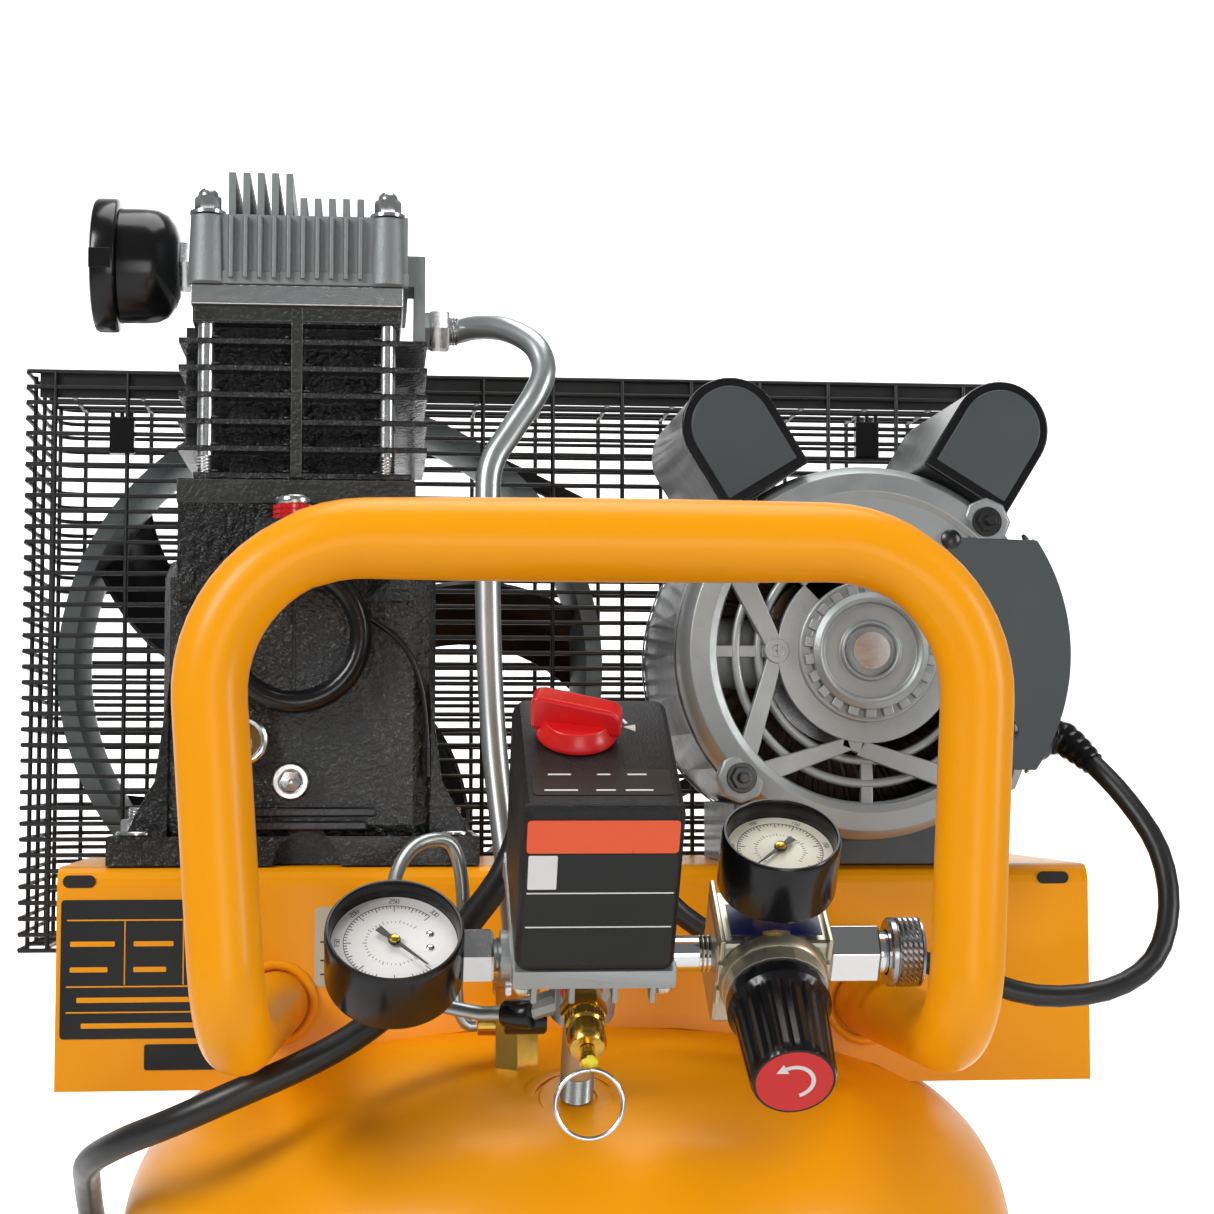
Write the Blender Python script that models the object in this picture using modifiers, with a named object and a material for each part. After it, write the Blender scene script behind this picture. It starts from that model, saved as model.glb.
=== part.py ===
"""Wheeled upright air compressor: a belt-driven, oil-lubricated pump and its motor on a deck over a vertical tank.

Metres, +Z up. The front, with the handle, the wheels and the controls, faces -Y. The origin is on the floor,
under the middle of the object's box, and every piece hangs on the empty "tank_axis" at the tank's centre line.
"""

import math

import bmesh
import bpy
from mathutils import Matrix, Vector

MM = 0.001
GAP = 0.3 * MM

# Tank: a 16 inch shell with two dished heads.
TANK_AXIS_Y = 18.2 * MM
TANK_RADIUS = 200 * MM
TANK_TOP = 903 * MM
TANK_BOTTOM = 75 * MM
HEAD_HEIGHT = 112 * MM
HEAD_POWER = 2.7
TANK_WALL = 3 * MM
TANK_STEPS = 40

# Deck: a sheet folded down at the front and at the rear.
DECK_TOP = 973 * MM
DECK_SHEET = 3 * MM
DECK_LEFT = -225 * MM
DECK_RIGHT = 231 * MM
DECK_FRONT = -46 * MM
DECK_REAR = 85 * MM
DECK_SKIRT = 96 * MM
DECK_BEND = 8 * MM

# Handle: one bent tube.
HANDLE_RADIUS = 14 * MM
HANDLE_Y = -213 * MM
HANDLE_TOP = 1101 * MM
HANDLE_BOTTOM = 914 * MM

# Wheels and rear foot.
WHEEL_RADIUS = 125 * MM
WHEEL_INNER = 212 * MM
WHEEL_OUTER = 260 * MM
WHEEL_Y = -100 * MM
AXLE_RADIUS = 8 * MM
FOOT_Y = 130 * MM

# Pump: one cylinder over a crankcase, with a finned flywheel behind it.
PUMP_X = -124.5 * MM
PUMP_Y = 10 * MM
PUMP_FRONT = -40 * MM
PUMP_REAR = 60 * MM
CASE_TOP = 1143.5 * MM
BLOCK_TOP = 1221 * MM
PLATE_TOP = 1230 * MM
HEAD_TOP = 1262 * MM
FIN_TOP_LEFT = 1282 * MM
FIN_TOP_RIGHT = 1271 * MM
FIN_PITCH = 6.35 * MM
BORE_RADIUS = 32 * MM
CRANK_X = -110 * MM
CRANK_Z = 1066.6 * MM
CRANK_RADIUS = 10 * MM
STUD_X = 40 * MM
STUD_Y = 46 * MM
STUD_RADIUS = 3.2 * MM

FLYWHEEL_RADIUS = 137.5 * MM
FLYWHEEL_FRONT = 119 * MM
FLYWHEEL_REAR = 155 * MM
BELT_Y = 137 * MM
BELT_WIDTH = 11 * MM
BELT_DEPTH = 8 * MM
GROOVE_DEPTH = 9.5 * MM

# Motor, with its axis parallel to the crankshaft.
MOTOR_X = 124.5 * MM
MOTOR_Z = 1066.6 * MM
MOTOR_RADIUS = 82 * MM
MOTOR_FRONT = -89 * MM
BELL_REAR = -60 * MM
SHELL_REAR = 78 * MM
SHAFT_RADIUS = 8 * MM
PULLEY_RADIUS = 37 * MM
CAPACITOR_RADIUS = 21 * MM
CAPACITOR_REACH = 115 * MM
CAPACITOR_ANGLE = math.radians(31.5)

# Belt guard: a wire cage in two halves.
GUARD_LEFT = -262 * MM
GUARD_RIGHT = 226 * MM
GUARD_BOTTOM = 926 * MM
GUARD_FRONT = 90 * MM
GUARD_REAR = 224 * MM
GUARD_TOP = 1213 * MM
GUARD_BAR = 3 * MM

# Controls: a pipe leaves the dome, tilted forward, and carries the switch, gauges, regulator and coupler.
PIPE_FOOT = Vector((-8.3, -138, 880)) * MM
PIPE_TILT = math.radians(33)
PIPE_RADIUS = 6.85 * MM
PIPE_END = 50 * MM
BUNG_TOP = 6 * MM
PORT_AT = 76 * MM
BASE_TOP = 97.7 * MM
COVER_TOP = 170 * MM
LINE_Y = -182 * MM
LINE_Z = 944.5 * MM
GAUGE_X = -81.3 * MM
GAUGE_TILT = math.radians(47)
GAUGE_RADIUS = 26.5 * MM
REGULATOR_X = 62.5 * MM
REGULATOR_TILT = math.radians(54)
REGULATOR_GAUGE_RADIUS = 22.6 * MM
VALVE_TILT = math.radians(38)

UP = Vector((0, 0, 1))
RIGHT = Vector((1, 0, 0))
BACK = Vector((0, 1, 0))
PIPE_UP = Vector((0, -math.sin(PIPE_TILT), math.cos(PIPE_TILT)))
PIPE_OUT = Vector((0, -math.cos(PIPE_TILT), -math.sin(PIPE_TILT)))
GAUGE_OUT = Vector((0, -math.cos(GAUGE_TILT), math.sin(GAUGE_TILT)))
REGULATOR_UP = Vector((0, -math.cos(REGULATOR_TILT), math.sin(REGULATOR_TILT)))
KNOB_OUT = Vector((0, -math.sin(REGULATOR_TILT), -math.cos(REGULATOR_TILT)))
VALVE_OUT = Vector((0, -math.cos(VALVE_TILT), -math.sin(VALVE_TILT)))
GAUGE_CENTRE = Vector((GAUGE_X, LINE_Y, LINE_Z))
REGULATOR_CENTRE = Vector((REGULATOR_X, LINE_Y, LINE_Z))


def clear_scene():
    for obj in list(bpy.data.objects):
        bpy.data.objects.remove(obj)


def new_collection(name, hidden):
    collection = bpy.data.collections.new(name)
    collection.hide_render = hidden
    bpy.context.scene.collection.children.link(collection)
    return collection


clear_scene()
PARTS = new_collection("air_compressor", False)
CUTTERS = new_collection("cutters", True)
TANK_AXIS = bpy.data.objects.new("tank_axis", None)
TANK_AXIS.location.y = TANK_AXIS_Y
PARTS.objects.link(TANK_AXIS)


def paint(name, colour, roughness, metallic=0.0):
    material = bpy.data.materials.new(name)
    material.use_nodes = True
    shader = material.node_tree.nodes["Principled BSDF"]
    shader.inputs["Base Color"].default_value = (*colour, 1)
    shader.inputs["Roughness"].default_value = roughness
    shader.inputs["Metallic"].default_value = metallic
    return material


YELLOW = paint("yellow_paint", (0.85, 0.36, 0.01), 0.35)
CAST_BLACK = paint("black_cast_iron", (0.012, 0.012, 0.013), 0.35)
BLACK = paint("black_plastic", (0.015, 0.015, 0.016), 0.5)
RUBBER = paint("black_rubber", (0.02, 0.02, 0.02), 0.8)
CAST_GREY = paint("grey_casting", (0.35, 0.36, 0.36), 0.5, 0.6)
LIGHT_GREY = paint("light_grey_casting", (0.55, 0.56, 0.53), 0.5, 0.4)
DARK_GREY = paint("dark_grey_paint", (0.06, 0.065, 0.07), 0.5)
STEEL = paint("bright_steel", (0.62, 0.63, 0.64), 0.3, 1.0)
ALUMINIUM = paint("aluminium_tube", (0.7, 0.71, 0.7), 0.35, 1.0)
BRASS = paint("brass", (0.7, 0.45, 0.12), 0.3, 1.0)
RED = paint("red_plastic", (0.6, 0.01, 0.01), 0.35)
CHAMPAGNE = paint("satin_nickel", (0.5, 0.47, 0.38), 0.4, 0.9)
GLASS = paint("sight_glass", (0.5, 0.35, 0.1), 0.1)
COPPER = paint("copper_winding", (0.5, 0.2, 0.08), 0.4, 0.8)


def add_object(name, mesh, material=None, origin=None):
    """Links a mesh or curve as a part, or as a hidden cutter where it has no material."""
    obj = bpy.data.objects.new(name, mesh)
    obj.parent = TANK_AXIS
    if origin is not None:
        obj.location = origin
    if material is None:
        obj.hide_render = True
        obj.display_type = "WIRE"
        CUTTERS.objects.link(obj)
    else:
        mesh.materials.append(material)
        PARTS.objects.link(obj)
    return obj


def finish_mesh(name, bm, material=None, origin=None, matrix=None):
    """The bmesh as an object. Its points are in the tank's frame, and origin only moves the object's own origin."""
    if matrix is not None:
        bmesh.ops.transform(bm, matrix=matrix, verts=bm.verts)
    bmesh.ops.recalc_face_normals(bm, faces=bm.faces)
    if origin is not None:
        bmesh.ops.translate(bm, verts=bm.verts, vec=-Vector(origin))
    mesh = bpy.data.meshes.new(name)
    bm.to_mesh(mesh)
    bm.free()
    mesh.shade_smooth()
    mesh.set_sharp_from_angle(angle=math.radians(35))
    return add_object(name, mesh, material, origin)


def axes_matrix(origin, along, side=RIGHT):
    """Local Z runs along the given direction, local X along side, from the origin."""
    z = along.normalized()
    y = z.cross(side).normalized()
    x = y.cross(z)
    return Matrix.Translation(origin) @ Matrix((x, y, z)).transposed().to_4x4()


def box(name, low, high, material=None, origin=None, matrix=None, bevel=0.0):
    bm = bmesh.new()
    size = [b - a for a, b in zip(low, high)]
    middle = [(a + b) / 2 for a, b in zip(low, high)]
    scaled = Matrix.Translation(middle) @ Matrix.Diagonal((*size, 1))
    bmesh.ops.create_cube(bm, size=1, matrix=scaled)
    if bevel:
        bmesh.ops.bevel(bm, geom=bm.edges, offset=bevel, segments=2, affect="EDGES", profile=0.5)
    return finish_mesh(name, bm, material, origin, matrix)


def rod(name, start, end, radius, material=None, origin=None, sides=24, end_radius=None):
    """A cylinder or cone between two points; six sides make a hexagon."""
    start = Vector(start)
    end = Vector(end)
    bm = bmesh.new()
    top = radius if end_radius is None else end_radius
    bmesh.ops.create_cone(
        bm, cap_ends=True, segments=sides, radius1=radius, radius2=top, depth=(end - start).length
    )
    along = end - start
    side = UP if abs(along.normalized().dot(RIGHT)) > 0.9 else RIGHT
    matrix = axes_matrix((start + end) / 2, along, side)
    return finish_mesh(name, bm, material, origin, matrix)


def turned(name, profile, matrix, material=None, origin=None, steps=28):
    """A closed outline of (radius, height) points, turned about local Z."""
    bm = bmesh.new()
    points = [bm.verts.new((r, 0, z)) for r, z in profile]
    edges = [bm.edges.new(pair) for pair in zip(points, points[1:] + points[:1])]
    bmesh.ops.spin(
        bm, geom=points + edges, axis=(0, 0, 1), cent=(0, 0, 0), angle=math.tau, steps=steps, use_merge=True
    )
    bmesh.ops.remove_doubles(bm, verts=bm.verts, dist=1e-6)
    thin = [edge for edge in bm.edges if not edge.link_faces]
    bmesh.ops.delete(bm, geom=thin, context="EDGES")
    return finish_mesh(name, bm, material, origin, matrix)


def smooth_path(points, spacing):
    """Points along a Catmull-Rom curve through the route's own points."""
    route = [Vector(p) for p in points]
    route = [2 * route[0] - route[1]] + route + [2 * route[-1] - route[-2]]
    path = []
    for a, b, c, d in zip(route, route[1:], route[2:], route[3:]):
        count = max(2, round((c - b).length / spacing))
        for i in range(count):
            t = i / count
            near = 2 * b + (c - a) * t
            far = (2 * a - 5 * b + 4 * c - d) * t**2 + (3 * b - a - 3 * c + d) * t**3
            path.append((near + far) / 2)
    return path + [route[-2]]


def rounded_path(points, radii, steps=6):
    """Straight runs joined by arcs of the given radii, one radius for each inner point."""
    route = [Vector(p) for p in points]
    path = [route[0]]
    for before, corner, after, radius in zip(route, route[1:], route[2:], radii):
        a = (before - corner).normalized()
        b = (after - corner).normalized()
        half = a.angle(b) / 2
        centre = corner + (a + b).normalized() * radius / math.sin(half)
        start = corner + a * radius / math.tan(half) - centre
        end = corner + b * radius / math.tan(half) - centre
        sweep = start.angle(end)
        for i in range(steps + 1):
            near = start * math.sin(sweep * (1 - i / steps))
            far = end * math.sin(sweep * i / steps)
            path.append(centre + (near + far) / math.sin(sweep))
    return path + [route[-1]]


def tube(name, path, radius, material, resolution=2, thickness=None):
    """A capped tube through the path; thickness gives each point's share of the radius."""
    curve = bpy.data.curves.new(name, "CURVE")
    curve.dimensions = "3D"
    curve.bevel_depth = radius
    curve.bevel_resolution = resolution
    curve.use_fill_caps = True
    spline = curve.splines.new("POLY")
    spline.points.add(len(path) - 1)
    for i, (point, place) in enumerate(zip(spline.points, path)):
        point.co = (*place, 1)
        point.radius = 1 if thickness is None else thickness[i]
    return add_object(name, curve, material)


def combine(obj, other, operation):
    modifier = obj.modifiers.new(f"{operation.lower()}_{other.name}", "BOOLEAN")
    modifier.operation = operation
    modifier.object = other
    modifier.solver = "EXACT"


def join(obj, *others):
    for other in others:
        combine(obj, other, "UNION")


def cut(obj, *others):
    for other in others:
        combine(obj, other, "DIFFERENCE")


# Tank --------------------------------------------------------------------------------------------------------


def head_arc(radius, height, steps):
    """(radius, height) points of a dished head, from its centre out to its edge."""
    arc = []
    for i in range(steps + 1):
        angle = math.pi / 2 * i / steps
        r = radius * math.sin(angle) ** (2 / HEAD_POWER)
        z = height * math.cos(angle) ** (2 / HEAD_POWER) if i < steps else 0
        arc.append((r, z))
    return arc


def tank_outline(offset, steps=7):
    """The tank's outer profile, moved out by the offset, from the top centre to the bottom centre."""
    top = TANK_TOP - HEAD_HEIGHT
    bottom = TANK_BOTTOM + HEAD_HEIGHT
    arc = head_arc(TANK_RADIUS + offset, HEAD_HEIGHT + offset, steps)
    return [(r, top + z) for r, z in arc] + [(r, bottom - z) for r, z in reversed(arc)]


def tank_cutter():
    return turned("cutter_tank", tank_outline(GAP), Matrix(), steps=TANK_STEPS)


def add_tank():
    drain = 6 * MM
    outer = tank_outline(0)
    inner = tank_outline(-TANK_WALL, 4)
    outline = outer[:-1] + [(drain, outer[-1][1]), (drain, inner[-1][1])] + inner[-2::-1]
    tank = turned("tank", outline, Matrix(), YELLOW, steps=TANK_STEPS)
    bung = turned_bung()
    join(tank, bung)


def turned_bung():
    """The threaded boss on the dome that holds the controls' pipe."""
    start = PIPE_FOOT - PIPE_UP * 8 * MM
    return rod("join_bung", start, PIPE_FOOT + PIPE_UP * BUNG_TOP, 18 * MM, end_radius=15 * MM)


def add_drain(cutter_gap=GAP):
    top = TANK_BOTTOM - cutter_gap
    body = rod("drain_valve_body", (0, 0, top - 28 * MM), (0, 0, top), 8 * MM, BRASS, sides=6)
    join(body, rod("join_drain_outlet", (0, 0, top - 14 * MM), (0, -22 * MM, top - 14 * MM), 5 * MM))
    tap_top = top - 28 * MM - GAP
    tap = rod("drain_valve_tap", (0, 0, tap_top - 10 * MM), (0, 0, tap_top), 5 * MM, BRASS, (0, 0, tap_top))
    wing = box(
        "join_tap_wing",
        (-13 * MM, -1.5 * MM, tap_top - 16 * MM),
        (13 * MM, 1.5 * MM, tap_top - 6 * MM),
    )
    join(tap, wing)


# Deck, handle, foot and wheels ------------------------------------------------------------------------------


def deck_profile():
    """(y, z) points of the folded sheet's outer face, from the front hem over the top to the rear hem."""
    low = DECK_TOP - DECK_SKIRT
    points = [(DECK_FRONT, low)]
    for centre_y, start in ((DECK_FRONT + DECK_BEND, math.pi), (DECK_REAR - DECK_BEND, math.pi / 2)):
        for i in range(5):
            angle = start - math.pi / 2 * i / 4
            y = centre_y + DECK_BEND * math.cos(angle)
            z = DECK_TOP - DECK_BEND + DECK_BEND * math.sin(angle)
            points.append((y, z))
    return points + [(DECK_REAR, low)]


def add_deck(dome):
    bm = bmesh.new()
    left, right = (
        [bm.verts.new((x, y, z)) for y, z in deck_profile()] for x in (DECK_LEFT, DECK_RIGHT)
    )
    for a, b, c, d in zip(left, left[1:], right[1:], right):
        bm.faces.new((a, b, c, d))
    deck = finish_mesh("deck", bm, YELLOW)
    solidify = deck.modifiers.new("sheet", "SOLIDIFY")
    solidify.thickness = DECK_SHEET
    solidify.offset = -1 if deck.data.polygons[0].normal.y < 0 else 1
    cut(deck, dome)


def add_handle():
    left_foot = (-131 * MM, DECK_FRONT - 1.2 * MM, HANDLE_BOTTOM)
    right_foot = (129 * MM, DECK_FRONT - 1.2 * MM, HANDLE_BOTTOM - 2 * MM)
    route = [
        left_foot,
        (-141 * MM, HANDLE_Y, HANDLE_BOTTOM),
        (-154 * MM, HANDLE_Y, HANDLE_TOP),
        (141 * MM, HANDLE_Y, HANDLE_TOP),
        (132 * MM, HANDLE_Y, HANDLE_BOTTOM - 2 * MM),
        right_foot,
    ]
    path = rounded_path(route, (32 * MM, 57 * MM, 57 * MM, 32 * MM))
    top_swell = 1.14
    middle = len(path) // 2
    path.insert(middle, (path[middle - 1] + path[middle]) / 2)
    thickness = [1.0] * len(path)
    thickness[middle] = top_swell
    tube("handle", path, HANDLE_RADIUS, YELLOW, 2, thickness)


def add_rear_foot(dome):
    half = 95 * MM
    foot = box("rear_foot", (-half, FOOT_Y, 0), (half, FOOT_Y + 5 * MM, 130 * MM), YELLOW)
    join(foot, box("join_foot_sole", (-half, FOOT_Y, 0), (half, FOOT_Y + 45 * MM, 5 * MM)))
    cut(foot, dome)


def add_axle_bracket(side, sign, dome):
    """A folded bracket on the tank's side, with the stub axle that the wheel turns on."""
    inner = sorted((sign * 110 * MM, sign * 206 * MM))
    low = (inner[0], WHEEL_Y - 24 * MM, 78 * MM)
    high = (inner[1], WHEEL_Y + 24 * MM, 150 * MM)
    bracket = box(f"axle_bracket_{side}", low, high, YELLOW)
    hollow = sorted((sign * 105 * MM, sign * 201 * MM))
    hollow_low = (hollow[0], WHEEL_Y - 20 * MM, 70 * MM)
    hollow_high = (hollow[1], WHEEL_Y + 20 * MM, 146 * MM)
    cut(bracket, box(f"cutter_bracket_{side}", hollow_low, hollow_high), dome)
    start = (sign * 202 * MM, WHEEL_Y, WHEEL_RADIUS)
    end = (sign * 264 * MM, WHEEL_Y, WHEEL_RADIUS)
    join(bracket, rod(f"join_axle_{side}", start, end, AXLE_RADIUS))


def add_wheel(side, sign):
    """A rubber tyre and its dished rim in one turned solid, bored for the axle."""
    middle = (WHEEL_INNER + WHEEL_OUTER) / 2
    half = (WHEEL_OUTER - WHEEL_INNER) / 2
    bore = AXLE_RADIUS + GAP
    outline = [
        (WHEEL_RADIUS, 0.45 * half),
        (WHEEL_RADIUS, -0.45 * half),
        (0.93 * WHEEL_RADIUS, -0.85 * half),
        (0.64 * WHEEL_RADIUS, -0.85 * half),
        (0.60 * WHEEL_RADIUS, -0.3 * half),
        (0.2 * WHEEL_RADIUS, -0.3 * half),
        (0.18 * WHEEL_RADIUS, -half),
        (bore, -half),
        (bore, half),
        (0.18 * WHEEL_RADIUS, half),
        (0.2 * WHEEL_RADIUS, 0.3 * half),
        (0.60 * WHEEL_RADIUS, 0.3 * half),
        (0.64 * WHEEL_RADIUS, 0.85 * half),
        (0.93 * WHEEL_RADIUS, 0.85 * half),
    ]
    centre = Vector((sign * middle, WHEEL_Y, WHEEL_RADIUS))
    turned(f"wheel_{side}", outline, axes_matrix(centre, RIGHT, UP), RUBBER, centre, 24)


# Pump --------------------------------------------------------------------------------------------------------


def stud_places():
    return [(PUMP_X + x, PUMP_Y + y) for y in (-STUD_Y, STUD_Y) for x in (-STUD_X, STUD_X)]


def stud_cutters():
    cutters = []
    for i, (x, y) in enumerate(stud_places()):
        start = (x, y, CASE_TOP - 5 * MM)
        end = (x, y, HEAD_TOP + 30 * MM)
        cutters.append(rod(f"cutter_stud_{i}", start, end, STUD_RADIUS + 0.5 * MM, sides=8))
    return cutters


def add_crankcase():
    base = box(
        "crankcase",
        (-205 * MM, PUMP_FRONT - 2 * MM, DECK_TOP + GAP),
        (-42.5 * MM, PUMP_REAR + 8 * MM, DECK_TOP + 13 * MM),
        CAST_BLACK,
    )
    body = box(
        "join_case_body",
        (-182 * MM, PUMP_FRONT + 2 * MM, DECK_TOP + 8 * MM),
        (-62 * MM, PUMP_REAR, 1110 * MM),
        bevel=10 * MM,
    )
    top = box(
        "join_case_top",
        (-176 * MM, PUMP_FRONT, 1090 * MM),
        (-72 * MM, PUMP_REAR, CASE_TOP),
    )
    boss_centre = Vector((PUMP_X, PUMP_FRONT + 8 * MM, 1074 * MM))
    boss = rod("join_case_boss", boss_centre, boss_centre - BACK * 15 * MM, 34 * MM)
    neck = box(
        "join_oil_neck",
        (-141 * MM, PUMP_FRONT - 22 * MM, 1098 * MM),
        (-109 * MM, PUMP_FRONT + 4 * MM, 1124 * MM),
    )
    join(base, body, top, boss, neck)
    cavity = box(
        "cutter_case_cavity",
        (-172 * MM, PUMP_FRONT + 12 * MM, DECK_TOP + 18 * MM),
        (-72 * MM, PUMP_REAR - 10 * MM, 1112 * MM),
    )
    centre = Vector((PUMP_X, PUMP_Y, 1105 * MM))
    throat = rod("cutter_case_throat", centre, centre + UP * 50 * MM, BORE_RADIUS + 2 * MM, sides=32)
    shaft = Vector((CRANK_X, PUMP_REAR - 15 * MM, CRANK_Z))
    seat = rod("cutter_crank_seat", shaft, shaft + BACK * 25 * MM, CRANK_RADIUS + GAP)
    arch = rod(
        "cutter_base_arch",
        (PUMP_X + 6 * MM, PUMP_FRONT - 5 * MM, DECK_TOP),
        (PUMP_X + 6 * MM, PUMP_FRONT + 12 * MM, DECK_TOP),
        15 * MM,
    )
    cut(base, cavity, throat, seat, arch)


def add_crankcase_fittings():
    front = PUMP_FRONT + 2 * MM - GAP
    for name, x, z, radius, material, sides in (
        ("oil_sight_glass", -146.5 * MM, 1028 * MM, 11 * MM, GLASS, 24),
        ("oil_drain_plug", -125.5 * MM, 1010 * MM, 8.5 * MM, STEEL, 12),
    ):
        rod(name, (x, front, z), (x, front - 7 * MM, z), radius, material, sides=sides)
    plug = Vector((-125 * MM, PUMP_FRONT - 11 * MM, 1124 * MM + GAP))
    cap = rod("oil_fill_plug", plug, plug + UP * 9 * MM, 9 * MM, RED, plug)
    join(cap, rod("join_plug_cap", plug + UP * 8 * MM, plug + UP * 11 * MM, 8 * MM, sides=12))


def add_cylinder_block(studs):
    low = CASE_TOP + GAP
    core = box(
        "cylinder_block",
        (PUMP_X - 38 * MM, PUMP_Y - 40 * MM, low),
        (PUMP_X + 38 * MM, PUMP_Y + 40 * MM, BLOCK_TOP),
        CAST_BLACK,
    )
    fins = 6
    pitch = 12 * MM
    for i in range(fins):
        z = low + i * pitch
        wide = 45 * MM if i == 0 else 52 * MM
        fin_low = (PUMP_X - wide, PUMP_Y - 50 * MM, z)
        fin_high = (PUMP_X + wide + 6 * MM, PUMP_Y + 50 * MM, z + 2.5 * MM)
        join(core, box(f"join_block_fin_{i}", fin_low, fin_high))
    flange_low = (PUMP_X - 46 * MM, PUMP_Y - 50 * MM, BLOCK_TOP - 8 * MM)
    flange_high = (PUMP_X + 46 * MM, PUMP_Y + 50 * MM, BLOCK_TOP)
    join(core, box("join_block_flange", flange_low, flange_high))
    bottom = Vector((PUMP_X, PUMP_Y, low - 5 * MM))
    bore = rod("cutter_bore", bottom, bottom + UP * 90 * MM, BORE_RADIUS, sides=24)
    cut(core, bore, *studs)


def add_head(studs):
    plate = box(
        "valve_plate",
        (PUMP_X - 47 * MM, PUMP_Y - 51 * MM, BLOCK_TOP + GAP),
        (PUMP_X + 47 * MM, PUMP_Y + 51 * MM, PLATE_TOP),
        STEEL,
    )
    cut(plate, *studs)
    head = box(
        "cylinder_head",
        (PUMP_X - 46 * MM, PUMP_Y - 50 * MM, PLATE_TOP + GAP),
        (PUMP_X + 49 * MM, PUMP_Y + 50 * MM, HEAD_TOP),
        CAST_GREY,
    )
    each_side = 5
    first = -153.9 * MM
    for i in range(2 * each_side):
        x = first + i * FIN_PITCH
        top = FIN_TOP_LEFT if i < each_side else FIN_TOP_RIGHT
        low = (x - 1.6 * MM, PUMP_Y - 46 * MM, HEAD_TOP - 3 * MM)
        join(head, box(f"join_head_fin_{i}", low, (x + 1.6 * MM, PUMP_Y + 46 * MM, top)))
    right = PUMP_X + 49 * MM
    elbow = box(
        "join_discharge_elbow",
        (right - 2 * MM, -34 * MM, 1232 * MM),
        (right + 8 * MM, -6 * MM, 1246 * MM),
    )
    drop = box(
        "join_discharge_drop",
        (right + 3 * MM, -34 * MM, 1207 * MM),
        (right + 8 * MM, -6 * MM, 1234 * MM),
    )
    nut_start = Vector((right + 7 * MM, -20 * MM, 1214.5 * MM))
    nut = rod("join_discharge_nut", nut_start, nut_start + RIGHT * 8 * MM, 9 * MM, sides=6)
    join(head, elbow, drop, nut)
    cut(head, *studs)


def add_studs():
    for i, (x, y) in enumerate(stud_places()):
        low = Vector((x, y, CASE_TOP + GAP))
        top = HEAD_TOP + GAP
        stud = rod(f"head_stud_{i + 1}", low, (x, y, top + 12 * MM), STUD_RADIUS, STEEL, sides=8)
        join(stud, rod(f"join_nut_{i}", (x, y, top), (x, y, top + 9 * MM), 7 * MM, sides=6))


def add_piston():
    crown = Vector((PUMP_X, PUMP_Y, BLOCK_TOP - 26 * MM))
    piston = rod("piston", crown, crown - UP * 30 * MM, BORE_RADIUS - 2 * GAP, ALUMINIUM, crown, 24)
    rod_start = crown - UP * 28 * MM
    join(piston, rod("join_rod", rod_start, rod_start - UP * 22 * MM, 9 * MM))


def add_crankshaft():
    centre = Vector((CRANK_X, 0, CRANK_Z))
    start = centre + BACK * -22 * MM
    end = centre + BACK * (FLYWHEEL_REAR - 4 * MM)
    shaft = rod("crankshaft", start, end, CRANK_RADIUS, STEEL, centre)
    join(shaft, rod("join_crank_web", centre, centre + BACK * 22 * MM, 26 * MM))


def spoke(i):
    """One curved fan blade, as a tilted plate between the hub and the rim."""
    angle = math.tau * i / 5
    radial = Vector((math.cos(angle), 0, math.sin(angle)))
    centre = Vector((CRANK_X, BELT_Y, CRANK_Z))
    matrix = axes_matrix(centre, radial, BACK) @ Matrix.Rotation(math.radians(35), 4, "Z")
    low = (-12 * MM, -4 * MM, 15 * MM)
    return box(f"join_spoke_{i}", low, (12 * MM, 4 * MM, 122 * MM), matrix=matrix)


def add_flywheel():
    half = (FLYWHEEL_REAR - FLYWHEEL_FRONT) / 2
    groove = BELT_WIDTH / 2 + 0.5 * MM
    floor = FLYWHEEL_RADIUS - GROOVE_DEPTH
    outline = [
        (FLYWHEEL_RADIUS, half),
        (FLYWHEEL_RADIUS, groove),
        (floor, groove),
        (floor, -groove),
        (FLYWHEEL_RADIUS, -groove),
        (FLYWHEEL_RADIUS, -half),
        (FLYWHEEL_RADIUS - 8 * MM, -half),
        (floor - 8 * MM, 0),
        (FLYWHEEL_RADIUS - 8 * MM, half),
    ]
    centre = Vector((CRANK_X, (FLYWHEEL_FRONT + FLYWHEEL_REAR) / 2, CRANK_Z))
    wheel = turned("flywheel", outline, axes_matrix(centre, BACK), CAST_BLACK, centre, 32)
    join(wheel, rod("join_hub", centre - BACK * half, centre + BACK * (half - 6 * MM), 24 * MM))
    join(wheel, *[spoke(i) for i in range(5)])
    start = centre - BACK * 30 * MM
    cut(wheel, rod("cutter_hub", start, start + BACK * 60 * MM, CRANK_RADIUS + GAP))


def add_filter():
    """The intake filter: a canister on the head's left side, and the lid over it."""
    centre = Vector((PUMP_X - 46 * MM - GAP, PUMP_Y, 1248 * MM))
    outline = [
        (0, 0),
        (13 * MM, 0),
        (13 * MM, 10 * MM),
        (20 * MM, 12 * MM),
        (26.5 * MM, 19 * MM),
        (26.5 * MM, 36 * MM),
        (0, 36 * MM),
    ]
    turned("intake_filter_housing", outline, axes_matrix(centre, -RIGHT, UP), BLACK)
    lid = centre - RIGHT * (36 * MM + GAP)
    rod("intake_filter_lid", lid, lid - RIGHT * 12 * MM, 31 * MM, BLACK)


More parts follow.
